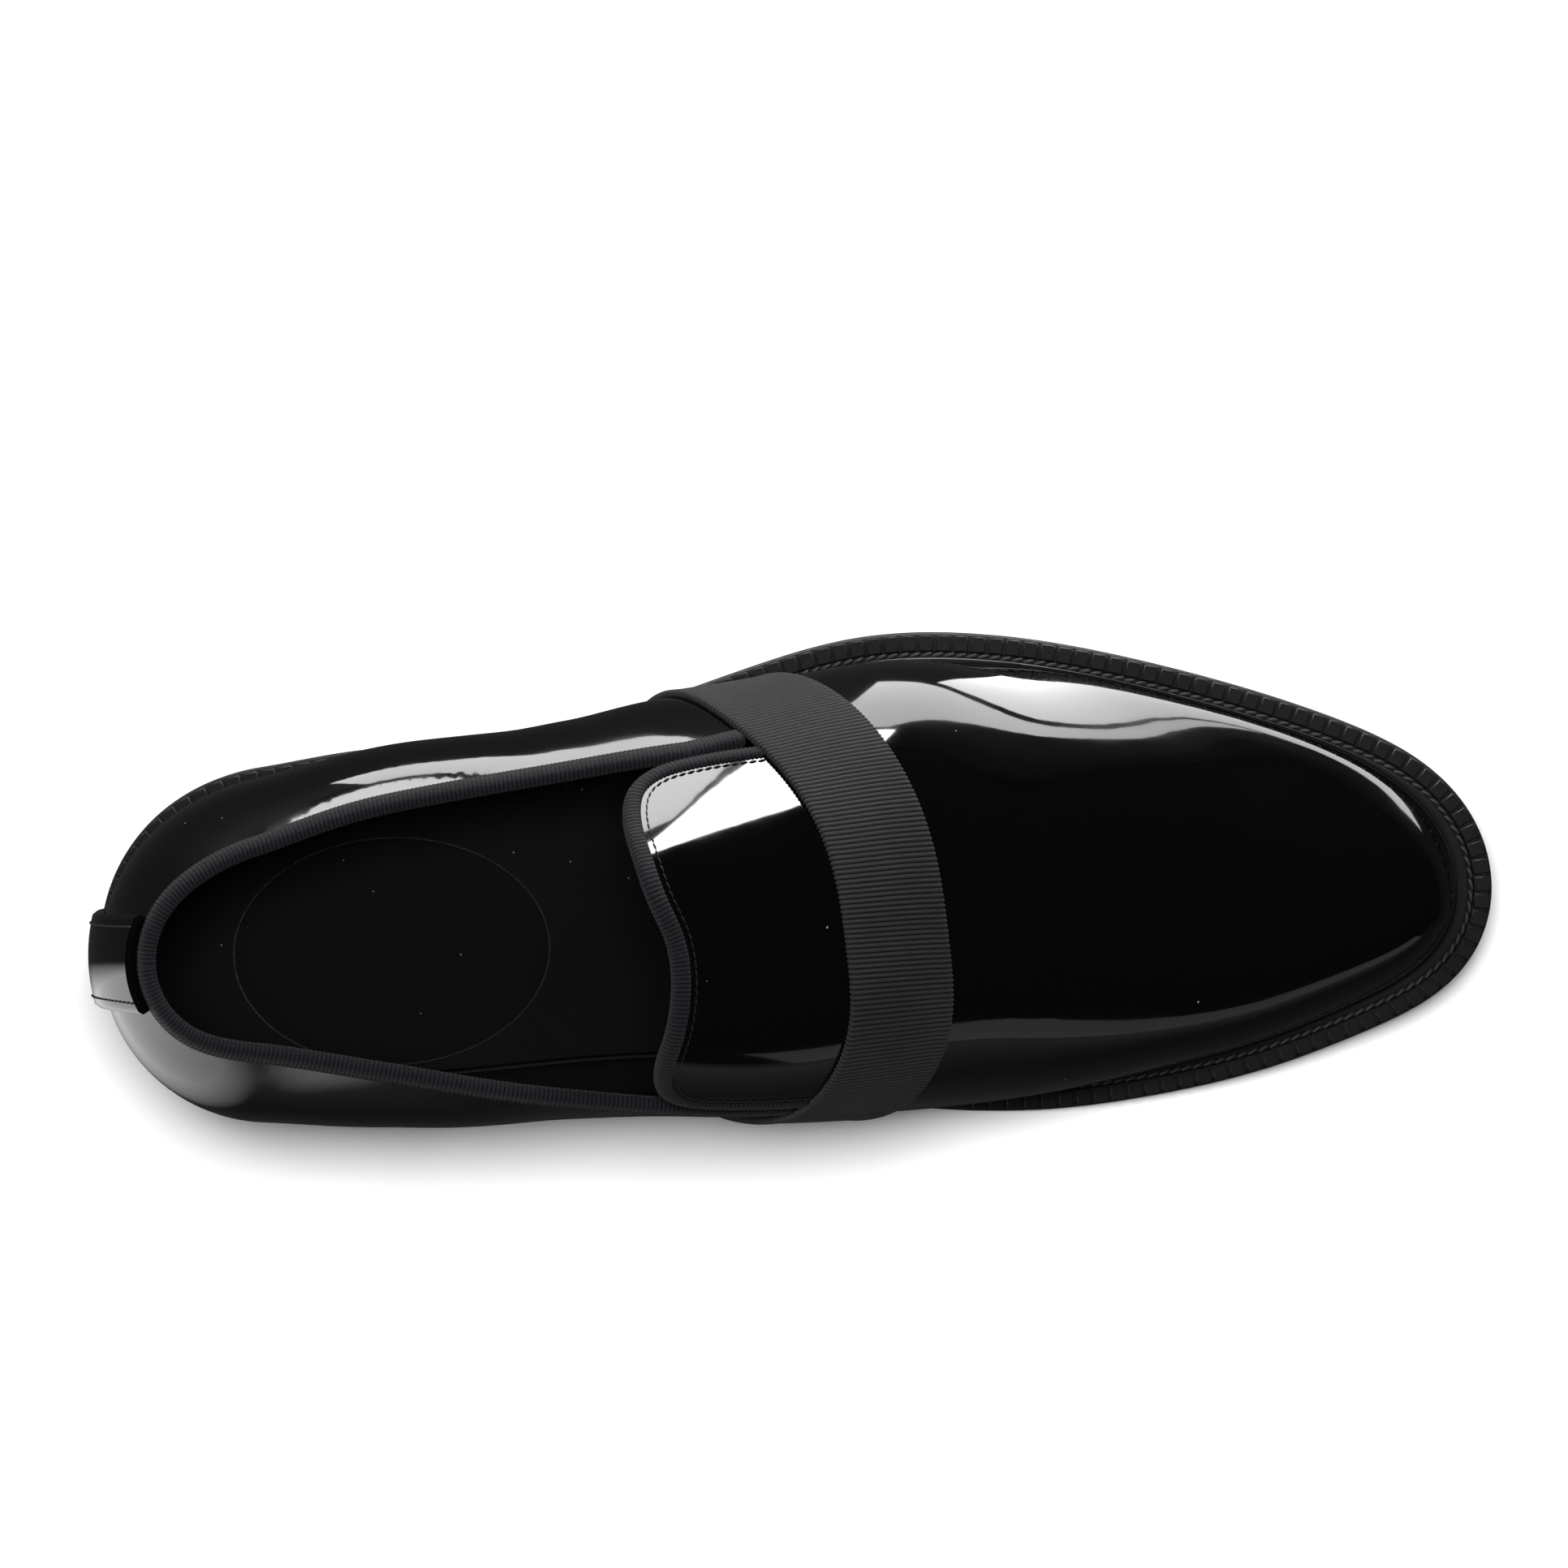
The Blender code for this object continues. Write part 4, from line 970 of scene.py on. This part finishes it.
def clear_of_tongue(tongue, side, u, t):
    """The collar's t on one side, kept a slit's width below the tongue's edge."""
    edge = tongue[tongue[:, 1] * side > 0]
    edge = edge[np.argsort(edge[:, 0])]
    rear = edge[0, 0]
    at = np.maximum(u, rear)
    tongue_t = np.interp(at, edge[:, 0], np.maximum.accumulate(np.abs(edge[:, 1])))
    step = 0.01
    girth = np.linalg.norm(last(at, side * (tongue_t + step)) - last(at, side * tongue_t), axis=-1) / step
    fade = np.clip(1.0 - (rear - u) / SLIT_FADE, 0.0, 1.0)
    return side * np.maximum(np.abs(t), fade * (tongue_t + SLIT / girth))


def edge_lines():
    """Collar and tongue edges of the leather as (u, t) lines. The collar's runs
    from the lateral slit round the back to the medial one, where u is below
    zero; the tongue's from the medial slit round its rear to the lateral one."""
    rows = np.asarray(TONGUE, float)
    plan = np.stack([BACK + rows[:, 0] * SOLE_LENGTH, rows[:, 1] * BALL_WIDTH], axis=1)
    run = run_along(plan)
    fine = np.linspace(0.0, run[-1], 600)
    x = spline(run, plan[:, 0])(fine)
    y = spline(run, plan[:, 1])(fine)
    u, t = tongue_ut(x, y)
    keep = band_place(last(u, t)) < SLIT_UNDER_BAND
    tongue = np.stack([u[keep], t[keep]], axis=1)
    sides = []
    for side in (1.0, -1.0):
        u = np.linspace(0.0, station(BAND_X), 500)
        t = clear_of_tongue(tongue, side, u, collar_t(u, side))
        keep = band_place(last(u, t)) < SLIT_UNDER_BAND
        sides.append(np.stack([side * u[keep], side * t[keep]], axis=1))
    collar = np.vstack([sides[0][::-1], sides[1][1:]])
    return collar, tongue, len(sides[0]) - 1


def outer(line):
    """Points of a (u, t) line on the last's outer face."""
    return last(line[:, 0], line[:, 1])


def resample(line, size):
    """A (u, t) line cut into even steps of about the given size."""
    run, want = evenly(outer(line), size)
    return np.stack([np.interp(want, run, line[:, 0]), np.interp(want, run, line[:, 1])], axis=1)


collar_line, tongue_line, back_index = edge_lines()

# Creases: soft troughs and ridges of the leather. Each has its place (x, z on
# one side), its length and width, the turn of its run, and its depth.
CREASES = (
    # side, x, z, length, width, turn, depth
    (1.0, 0.058, 0.056, 0.016, 0.0060, 1.15, 0.00022),
    (1.0, 0.072, 0.055, 0.014, 0.0055, 1.35, 0.00020),
    (1.0, 0.085, 0.052, 0.012, 0.0055, 1.50, -0.00012),
    (1.0, 0.020, 0.050, 0.018, 0.0090, 1.00, 0.00030),
    (-1.0, 0.030, 0.048, 0.018, 0.0080, 1.90, 0.00035),
    (-1.0, 0.062, 0.044, 0.020, 0.0080, 1.70, 0.00030),
)
SWELL = 0.00004


def relief(points):
    """How far the leather stands off the last's smooth face at each point."""
    x, y, z = points[:, 0], points[:, 1], points[:, 2]
    total = SWELL * np.sin(95.0 * x + 40.0 * z + 1.0) * np.sin(70.0 * y - 55.0 * z)
    total = total * np.clip((0.19 - x) / 0.08, 0.25, 1.0)
    for side, cx, cz, length, width, turn, depth in CREASES:
        along = (x - cx) * math.cos(turn) + (z - cz) * math.sin(turn)
        across = -(x - cx) * math.sin(turn) + (z - cz) * math.cos(turn)
        shape = np.exp(-((along / length) ** 2) - (across / width) ** 2)
        total = total - depth * shape * (y * side > 0)
    return total


def within(points, outline):
    """Which flat points lie inside an outline, and how far each is from it."""
    inside = np.zeros(len(points), bool)
    near = np.full(len(points), 1e9)
    for p, q in zip(outline, np.roll(outline, -1, axis=0)):
        crosses = (p[1] > points[:, 1]) != (q[1] > points[:, 1])
        rise = q[1] - p[1]
        if abs(rise) > 1e-12:
            cut = p[0] + (points[:, 1] - p[1]) * (q[0] - p[0]) / rise
            inside ^= crosses & (points[:, 0] < cut)
        edge = q - p
        share = np.clip(((points - p) @ edge) / max(edge @ edge, 1e-12), 0.0, 1.0)
        gap = np.linalg.norm(points - (p + share[:, None] * edge), axis=1)
        near = np.minimum(near, gap)
    return inside, near


def lasted_upper(cell, mats):
    """The upper's wall: triangles of about a cell's size are cut flat to its
    outline on a map of the last, and laid on the last's face."""
    stations = np.linspace(0.0, 1.0, 481)
    sides = np.linspace(-1.0, 1.0, 61)
    grid = last(stations[:, None], sides[None, :])
    girth = 0.5 * np.linalg.norm(np.diff(grid, axis=1), axis=2).sum(axis=1)
    low = np.linalg.norm(np.diff(grid[:, 15], axis=0), axis=1)
    high = np.linalg.norm(np.diff(grid[:, 45], axis=0), axis=1)
    along = np.concatenate([[0.0], np.cumsum(0.5 * (low + high))])

    def to_map(line):
        a = np.interp(line[:, 0], stations, along)
        return np.stack([a, line[:, 1] * np.interp(line[:, 0], stations, girth)], axis=1)

    def from_map(ab):
        u = np.interp(ab[:, 0], along, stations)
        return np.stack([u, ab[:, 1] / np.maximum(np.interp(u, stations, girth), 1e-9)], axis=1)

    foot_u = np.linspace(0.0, 1.0, 1200)
    foot_line = resample(np.stack([foot_u, np.ones(1200)], axis=1), cell)
    seam_count = int(SEAM_LENGTH / cell)
    seam_t = np.linspace(1.0, abs(collar_line[back_index, 1]), seam_count)
    seam = np.stack([np.zeros(seam_count), seam_t], axis=1)
    mirror = np.array([1.0, -1.0])
    border = np.vstack([
        foot_line[:-1] * mirror,
        foot_line[::-1],
        seam[1:-1],
        resample(collar_line[: back_index + 1][::-1], cell),
        resample(tongue_line, 0.6 * cell)[::-1],
        -resample(collar_line[back_index:], cell)[::-1],
        (seam * mirror)[1:-1][::-1],
    ])
    outline = to_map(border)
    ab = []
    reach = np.arange(0.0, along[-1], cell * 0.866)
    for row, a in enumerate(reach):
        b = np.arange(-girth.max(), girth.max(), cell) + (0.5 * cell if row % 2 else 0.0)
        ab.append(np.stack([np.full_like(b, a), b], axis=1))
    ab = np.vstack(ab)
    inside, near = within(ab, outline)
    ab = ab[inside & (near > 0.5 * cell)]
    flat = np.vstack([outline, ab])
    ring = list(range(len(outline)))
    made = delaunay_2d_cdt([Vector(map(float, p)) for p in flat * 1000.0], [], [ring], 0, 1e-6, True)
    where = np.array([tuple(p) for p in made[0]]) / 1000.0
    faces = np.array(made[2])
    faces = faces[within(where[faces].mean(axis=1), outline)[0]]
    first = [o[0] for o in made[3]]
    ut = np.vstack([border, from_map(ab)])
    owner = {}
    same = []
    for index in first:
        u, t = ut[index]
        key = (round(u, 6), round(abs(t), 6)) if u < 1e-9 else (index,)
        same.append(owner.setdefault(key, index))
    used = sorted(set(same))
    slot = {index: i for i, index in enumerate(used)}
    face = last(ut[used, 0], ut[used, 1])
    normal = last_normal(ut[used, 0], ut[used, 1])
    normal[ut[used, 0] > 1.0 - 1e-9] = (1.0, 0.0, 0.0)
    inner = face - WALL * normal
    face = face + normal * relief(face)[:, None]
    tris = [tuple(slot[same[v]] for v in f) for f in faces]
    tris = [f for f in tris if len(set(f)) == 3]
    total = len(used)
    sides = {}
    for f in tris:
        for k in range(3):
            sides[(f[k], f[(k + 1) % 3])] = True
    walls = [(q, p, p + total, q + total) for p, q in sides if (q, p) not in sides]
    skin = tris + [tuple(v + total for v in reversed(f)) for f in tris] + walls
    picks = [0] * len(tris) + [1] * (len(tris) + len(walls))
    points = np.vstack([face, inner])
    return shoe_piece("lasted_upper", points, skin, mats, ["upper"], 50.0, picks)


def patent_material():
    """Black leather under a clear lacquer, with a slow waviness in its gloss,
    faint smears and a few specks of dust."""
    black = (0.0010, 0.0010, 0.0011)
    mat, tree, shader = finish_material("patent_leather", black, 0.10, coat=1.0)
    place = add_node(tree, "ShaderNodeTexCoord").outputs["Object"]
    slow = add_node(tree, "ShaderNodeTexNoise", Vector=place, Scale=130.0, Detail=1.5)
    bump = add_node(tree, "ShaderNodeBump", Height=slow.outputs["Fac"], Strength=0.08, Distance=0.0003)
    tree.links.new(bump.outputs["Normal"], shader.inputs["Normal"])
    tree.links.new(bump.outputs["Normal"], shader.inputs["Coat Normal"])
    smear = add_node(tree, "ShaderNodeTexNoise", Vector=place, Scale=46.0, Detail=5.0)
    tree.links.new(remap(tree, smear.outputs["Fac"], 0.35, 0.75, 0.05, 0.14), shader.inputs["Roughness"])
    dust = place_group(tree, DUST, Scale=240.0, Size=0.055)
    speck = mix_colour(tree, dust.outputs["Mask"], black, (0.20, 0.20, 0.20))
    tree.links.new(speck, shader.inputs["Base Color"])
    return mat


PATENT_MAT = patent_material()
LINING_MAT = grained_material("lining_leather", (0.0045, 0.0045, 0.0047), 0.60, 1300.0, 0.3, 0.3)
UPPER_CELL = 0.0018
SEAM_LENGTH = 0.07
lasted_upper(UPPER_CELL, [PATENT_MAT, LINING_MAT])

# Edge stitching of the tongue: a row of fine dark stitches beside its binding.
EDGE_IN = 0.0012
EDGE_PITCH = 0.0019
STITCH_LIFT = 0.0001
EDGE_THREAD = grained_material("edge_thread", (0.012, 0.012, 0.012), 0.55, 4000.0, 0.5, 0.3)


def beside(line, away):
    """A line of the last's face moved sideways over the face by a distance."""
    face, normal, _, side = path_frame(resample(line, 0.0012))
    points = face + side * away
    return points + normal * (relief(points) + STITCH_LIFT)[:, None], normal


piece = stitch(EDGE_PITCH * 0.88, 0.00036)
line = tongue_line[::-1]
points, facing = beside(line[band_place(outer(line)) < -0.001], -EDGE_IN)
row_of("tongue_stitches", points, facing, False, EDGE_PITCH, 0.10, piece, EDGE_THREAD)

# Band: a grosgrain ribbon laid over the vamp from welt to welt. It is woven
# with ribs across its width and a beaded selvedge on both edges.
RIB_PITCH = 0.00105
RIB_HEIGHT = 0.00028
TOOTH = 0.0003


def hump(tree, run, pitch):
    """A row of half waves along a run: one on each rib, zero between ribs."""
    turns = maths(tree, "MULTIPLY", maths(tree, "DIVIDE", run, pitch), math.pi)
    return maths(tree, "ABSOLUTE", maths(tree, "SINE", turns))


def rib_tree():
    """Geometry Nodes: pushes a ribbon's face out in even ribs along its run."""
    inputs = (("Ribbon", "Geometry"), ("Pitch", 0.001), ("Height", 0.0002), ("Finish", "Material"))
    tree, into, out = new_group("woven_ribs", "GeometryNodeTree", inputs, (("Ribs", "Geometry"),))
    run = add_node(tree, "GeometryNodeInputNamedAttribute", {"data_type": "FLOAT"}, Name="run")
    full = maths(tree, "POWER", hump(tree, run.outputs["Attribute"], into.outputs["Pitch"]), 0.7)
    high = maths(tree, "MULTIPLY", full, into.outputs["Height"])
    normal = add_node(tree, "GeometryNodeInputNormal").outputs[0]
    push = add_node(tree, "ShaderNodeVectorMath", {"operation": "SCALE"}, _0=normal, Scale=high)
    moved = add_node(tree, "GeometryNodeSetPosition", Geometry=into.outputs["Ribbon"], Offset=push.outputs[0])
    return end_tree(tree, moved.outputs[0], into, out)


RIBS_TREE = rib_tree()


def ribbon_piece(name, rows, run, pitch, height, mat, node):
    """A woven ribbon: its plain strip, swept from rows of sections that lie at
    the given run along it, and ribbed by the tree."""
    mesh = smooth_mesh(name + "_plain", rows.reshape(-1, 3), swept(rows, False))
    runs = np.repeat(run, rows.shape[1]).astype(np.float32)
    mesh.attributes.new("run", "FLOAT", "POINT").data.foreach_set("value", runs)
    plain = show(name + "_plain", mesh)
    made = bake_nodes(plain, RIBS_TREE, name, Pitch=pitch, Height=height, Finish=mat)
    made.data.shade_smooth()
    return wear(made, [node])


def woven_material(name, colour, painted_valley_shade, pitch):
    """Grosgrain with fine threads: its own colour on the ribs, darkened between them by painted shade."""
    mat, tree, shader = finish_material(name, colour, 0.6, sheen=0.04, specular=0.2)
    run = add_node(tree, "ShaderNodeAttribute", {"attribute_name": "run"}).outputs["Fac"]
    grain = place_group(tree, GRAIN, Scale=3200.0, Depth=0.7, Spread=0.25)
    # Painted shade: the colour falls to the darker valley colour between the ribs.
    share = maths(tree, "MULTIPLY", hump(tree, run, pitch), grain.outputs["Shade"])
    tree.links.new(mix_colour(tree, share, painted_valley_shade, colour), shader.inputs["Base Color"])
    tree.links.new(grain.outputs["Normal"], shader.inputs["Normal"])
    return mat


# The second colour is painted shade for the valleys between the ribs.
BAND_MAT = woven_material("grosgrain_band", (0.028, 0.028, 0.0285), (0.002, 0.002, 0.002), RIB_PITCH)


def ribbed_band(mat):
    """The band, laid over the last between two planes across the vamp."""
    shares = np.linspace(-0.995, 0.995, 800)

    def on_plane(t, place):
        low = np.full_like(t, station(BAND_X - 0.68 * BALL_WIDTH))
        high = np.full_like(t, station(BAND_X + 0.85 * BALL_WIDTH))
        return solve(low, high, lambda u: band_place(last(u, t)) - place, 30)

    mid = on_plane(shares, 0.5 * BAND_WIDTH)
    points = last(mid, shares)
    clear = points[:, 2] - feather(points[:, 0]) > 0.5 * BAND_FOOT
    shares = shares[clear]
    run, want = evenly(points[clear], RIB_PITCH / 6.0)
    t = np.interp(want, run, shares)
    edge_in = 0.0005
    lanes = np.concatenate([[0.0, 0.25 * edge_in], np.linspace(edge_in, BAND_WIDTH - edge_in, 9)])
    lanes = np.concatenate([lanes, [BAND_WIDTH - 0.25 * edge_in, BAND_WIDTH]])
    thick = BAND * np.concatenate([[0.55, 0.90, 1.0], np.full(7, 0.82), [1.0, 0.90, 0.55]])
    rows = []
    under = []
    tooth = TOOTH * (np.abs(np.sin(math.pi * want / RIB_PITCH)) - 1.0)
    for lane, (place, up) in enumerate(zip(lanes, thick)):
        side = (lane > len(lanes) - 4) * 1.0 - (lane < 3) * 1.0
        u = on_plane(t, place + side * tooth)
        face = last(u, t)
        normal = last_normal(u, t)
        rows.append(face + normal * (GAP + up - 0.5 * RIB_HEIGHT))
        under.append(face + normal * GAP)
    rows = rows + [under[-1], under[6], under[0]]
    rows = np.stack(rows, axis=1)
    return ribbon_piece("ribbed_band", rows, want, RIB_PITCH, RIB_HEIGHT, mat, "vamp_band")


ribbed_band(BAND_MAT)

# Bindings: a narrow ribbed ribbon folded over each cut edge of the leather and
# stitched down. One runs round the collar and one round the tongue, and both
# end under the band.
BIND_PITCH = 0.00092
BIND_HEIGHT = 0.00020
BIND_TURNS = 9
# The second colour is painted shade for the valleys between the ribs.
BIND_MAT = woven_material("binding_ribbon", (0.014, 0.0145, 0.017), (0.003, 0.003, 0.0035), BIND_PITCH)


def band_axis():
    """The way across the band, from its rear edge to its front edge."""
    return unit(np.array([1.0, -BAND_SLANT, -BAND_LEAN]))


def folded_binding(name, line, node):
    """A ribbon folded over an edge, rounded on top, down to the leather."""
    fine = resample(line, 0.0004)
    fine = fine[band_place(outer(fine)) < -GAP]
    path = resample(fine, BIND_PITCH / 5.0)
    face, normal, tangent, away = path_frame(path)
    half = 0.5 * BINDING - BIND_HEIGHT
    tall = BINDING_HEIGHT - BIND_HEIGHT
    rows = []
    for turn in np.linspace(0.0, math.pi, BIND_TURNS):
        across = -half * math.cos(turn)
        up = tall * (0.45 + 0.55 * math.sin(turn) ** 0.8)
        rows.append((across, up))
    rows = [(-half, 0.0)] + rows + [(half, 0.0)]
    centre = face - normal * (0.5 * WALL)
    lines = [centre + normal * across + away * (GAP + up) for across, up in rows]
    lines = np.stack(lines, axis=1)
    for end in (0, -1):
        over = band_place(lines[end]) + GAP
        lines[end] = lines[end] - tangent[end] * (over / (tangent[end] @ band_axis()))[:, None]
    run = run_along(face)
    ribbon_piece(name, lines, run, BIND_PITCH, BIND_HEIGHT, BIND_MAT, node)


folded_binding("collar_ribbon", collar_line[::-1], "collar_binding")
folded_binding("tongue_ribbon", tongue_line[::-1], "tongue_binding")

# Tab: a patent strip that covers the back seam, tucked under the collar's
# binding at its top, with a row of stitches near each long edge.
TAB_COLUMNS = 25
TAB_ROWS = 60


def tab_grid():
    """Points of the last's face under the tab, and which way they face."""
    rim = outer(collar_line)
    centre = rim[back_index, 1]
    low = rim[(np.abs(rim[:, 1] - centre) < 0.52 * TAB_WIDTH) & (rim[:, 0] < 0.0), 2].min() - GAP
    points = last(np.zeros(300), np.linspace(abs(collar_line[back_index, 1]), 1.0, 300))
    points = points[points[:, 2] < low]
    run = run_along(points)
    heights = np.interp(np.linspace(0.0, TAB_LENGTH, TAB_ROWS), run, points[:, 2])
    across = np.linspace(-0.5 * TAB_WIDTH, 0.5 * TAB_WIDTH, TAB_COLUMNS)
    z, y = np.meshgrid(heights, across, indexing="ij")
    side = np.where(y >= 0, 1.0, -1.0)

    def t_of(u):
        low = np.full_like(u, 0.02)
        high = np.full_like(u, 0.995)
        return side * solve(low, high, lambda s: z - last(u, side * s)[..., 2], 26)

    u = solve(
        np.zeros_like(z),
        np.full_like(z, station(0.0)),
        lambda u: side * (last(u, t_of(u))[..., 1] - centre) - np.abs(y),
        26,
    )
    u = np.where(np.abs(y) < 1e-9, 0.0, u)
    t = t_of(u)
    return last(u, t), last_normal(u, t), across


tab_face, tab_normal, tab_across = tab_grid()
ease = 0.0009
rim_in = 0.5 * TAB_WIDTH - np.abs(tab_across)
rounded = 1.0 - (1.0 - np.clip(rim_in / ease, 0.0, 1.0)) ** 2
tab_up = TAB * (0.72 + 0.28 * np.sqrt(np.clip(rounded, 0.0, 1.0)))
tab_top = tab_face + tab_normal * (GAP + tab_up)[None, :, None]
tab_under = tab_face + tab_normal * GAP
rows = np.concatenate([tab_top, tab_under[:, ::-1]], axis=1)
count, size = rows.shape[:2]
faces = swept(rows, True)[: (count - 1) * size]
for i in (0, count - 1):
    for k in range(TAB_COLUMNS - 1):
        faces.append((i * size + k, i * size + k + 1, i * size + size - 2 - k, i * size + size - 1 - k))
shoe_piece("back_strip", rows.reshape(-1, 3), faces, [PATENT_MAT], ["heel_tab"], 50.0)
for name, column in (("tab_stitches_medial", 3), ("tab_stitches_lateral", TAB_COLUMNS - 4)):
    facing = tab_normal[1:-1, column]
    points = tab_top[1:-1, column] + facing * STITCH_LIFT
    row_of(name, points, facing, False, EDGE_PITCH, 0.0, piece, EDGE_THREAD)
bpy.data.objects.remove(piece)

# Studio: a plain pale floor. Its colour as the lacquer mirrors it is painted
# reflection: painted dark round the shoe, as if black card lay there, and pale
# only behind the inner half of the heel; it brightens a little far out on the
# inner side.
FLOOR_SIZE = 3.0
FLOOR_PALE = 0.90
corners = ((-1, -1), (1, -1), (1, 1), (-1, 1))
mesh = bpy.data.meshes.new("floor")
mesh.from_pydata([(x * FLOOR_SIZE, y * FLOOR_SIZE, 0) for x, y in corners], [], [(0, 1, 2, 3)])
floor = show("floor", mesh)
mat = bpy.data.materials.new("floor_paper")
mat.use_nodes = True
tree = mat.node_tree
shader = tree.nodes["Principled BSDF"]
shader.inputs["Roughness"].default_value = 0.9
shader.inputs["Specular IOR Level"].default_value = 0.1
place = add_node(tree, "ShaderNodeTexCoord").outputs["Object"]
axes = add_node(tree, "ShaderNodeSeparateXYZ", Vector=place)
# Painted reflection: these zones set the floor's colour in mirrored views only.
far = remap(tree, axes.outputs["Y"], -0.14, -0.60, 0.02, 0.14)
behind = remap(tree, axes.outputs["X"], -0.03, -0.07, 0.0, 1.0)
inner = remap(tree, axes.outputs["Y"], -0.004, -0.017, 0.02, 0.75)
painted_reflection = maths(tree, "MAXIMUM", far, maths(tree, "MULTIPLY", behind, inner))
ray = add_node(tree, "ShaderNodeLightPath")
glossy = ray.outputs["Is Glossy Ray"]
mirrored = add_node(tree, "ShaderNodeMix", {"data_type": "FLOAT"}, _0=glossy, _2=FLOOR_PALE, _3=painted_reflection)
shade = mirrored.outputs[0]
grey = add_node(tree, "ShaderNodeCombineColor", _0=shade, _1=shade, _2=shade)
tree.links.new(grey.outputs[0], shader.inputs["Base Color"])
mesh.materials.append(mat)


def softbox(name, place, aim, size, power, mirrored=True, lit=True):
    """A rectangular softbox that faces a point. It can be kept out of mirrored
    views, or be there only to be mirrored."""
    light = bpy.data.lights.new(name, "AREA")
    light.shape = "RECTANGLE"
    light.size, light.size_y = size
    light.energy = power
    obj = show(name, light)
    way = Vector(aim) - Vector(place)
    obj.rotation_mode = "QUATERNION"
    obj.rotation_quaternion = way.to_track_quat("-Z", "Y")
    obj.location = place
    obj.visible_camera = False
    obj.visible_glossy = mirrored
    obj.visible_diffuse = lit


# One large softbox overhead lights the shoe and the floor. The rest are there
# to be mirrored: white walls and cards beyond the outer side, a low window
# beyond the inner side and a card behind the heel.
WALL_Y = 0.335
CARD_Z = 0.002
softbox("overhead", (0.05, 0.28, 1.6), (0.115, 0.0, 0.0), (0.6, 0.5), 35.0, mirrored=False)
for name, x, z, size, power in (
    ("wall_quarter", -0.0875, 0.046, (0.425, 0.068), 0.52),
    ("wall_tongue", 0.195, 0.084, (0.13, 0.150), 0.80),
):
    softbox(name, (x, WALL_Y, z), (x, 0.0, z), size, power)
for name, x, y, size, power in (
    ("card_quarter", 0.055, 0.270, (0.17, 0.130), 0.31),
    ("card_vamp", 0.192, 0.220, (0.102, 0.230), 0.24),
    ("card_toe", 0.238, 0.080, (0.145, 0.036), 0.061),
):
    softbox(name, (x, y, CARD_Z), (x, y, 1.0), size, power, lit=False)
softbox("window_medial", (0.90, -1.05, 0.125), (0.12, -0.02, 0.05), (0.85, 0.25), 0.15)
softbox("rear_fill", (-1.1, -0.55, 0.22), (0.0, 0.0, 0.05), (0.35, 0.30), 2.5)

world = bpy.data.worlds.new("studio")
world.use_nodes = True
bpy.context.scene.world = world
tree = world.node_tree
tree.nodes.clear()
ray = add_node(tree, "ShaderNodeLightPath")
dark = add_node(tree, "ShaderNodeBackground", Color=(0.9, 0.92, 1.0, 1.0), Strength=0.012)
pale = add_node(tree, "ShaderNodeBackground", Color=(1.0, 1.0, 1.0, 1.0), Strength=0.95)
pick = add_node(tree, "ShaderNodeMixShader", Fac=ray.outputs["Is Camera Ray"])
tree.links.new(dark.outputs[0], pick.inputs[1])
tree.links.new(pale.outputs[0], pick.inputs[2])
end = add_node(tree, "ShaderNodeOutputWorld", Surface=pick.outputs[0])
bpy.context.scene.view_settings.view_transform = "Standard"
bpy.context.scene.view_settings.look = "None"

# Camera: it looks down on the shoe from a hair in front of straight above, and
# is rolled so that the toe dips as in the photograph.
CAMERA_TARGET = Vector((0.1131, 0.0301, 0.022))
CAMERA_DISTANCE = 1.35
CAMERA_TILT = math.radians(2.0)
CAMERA_ROLL = math.radians(2.4)
IMAGE_PX = 1932.0
FOCAL_PX = 7681.5
back_way = Vector((0.0, math.sin(CAMERA_TILT), math.cos(CAMERA_TILT)))
side_way = Vector((1.0, 0.0, 0.0))
up_way = back_way.cross(side_way)
right = side_way * math.cos(CAMERA_ROLL) - up_way * math.sin(CAMERA_ROLL)
over = side_way * math.sin(CAMERA_ROLL) + up_way * math.cos(CAMERA_ROLL)
lens = bpy.data.cameras.new("camera")
lens.sensor_width = 36.0
lens.lens = lens.sensor_width * FOCAL_PX / IMAGE_PX
lens.clip_start = 0.05
lens.clip_end = 20.0
camera = show("camera", lens)
turn = Matrix((right, over, back_way)).transposed().to_4x4()
camera.matrix_world = Matrix.Translation(CAMERA_TARGET + back_way * CAMERA_DISTANCE) @ turn
bpy.context.scene.camera = camera

bpy.context.view_layer.update()
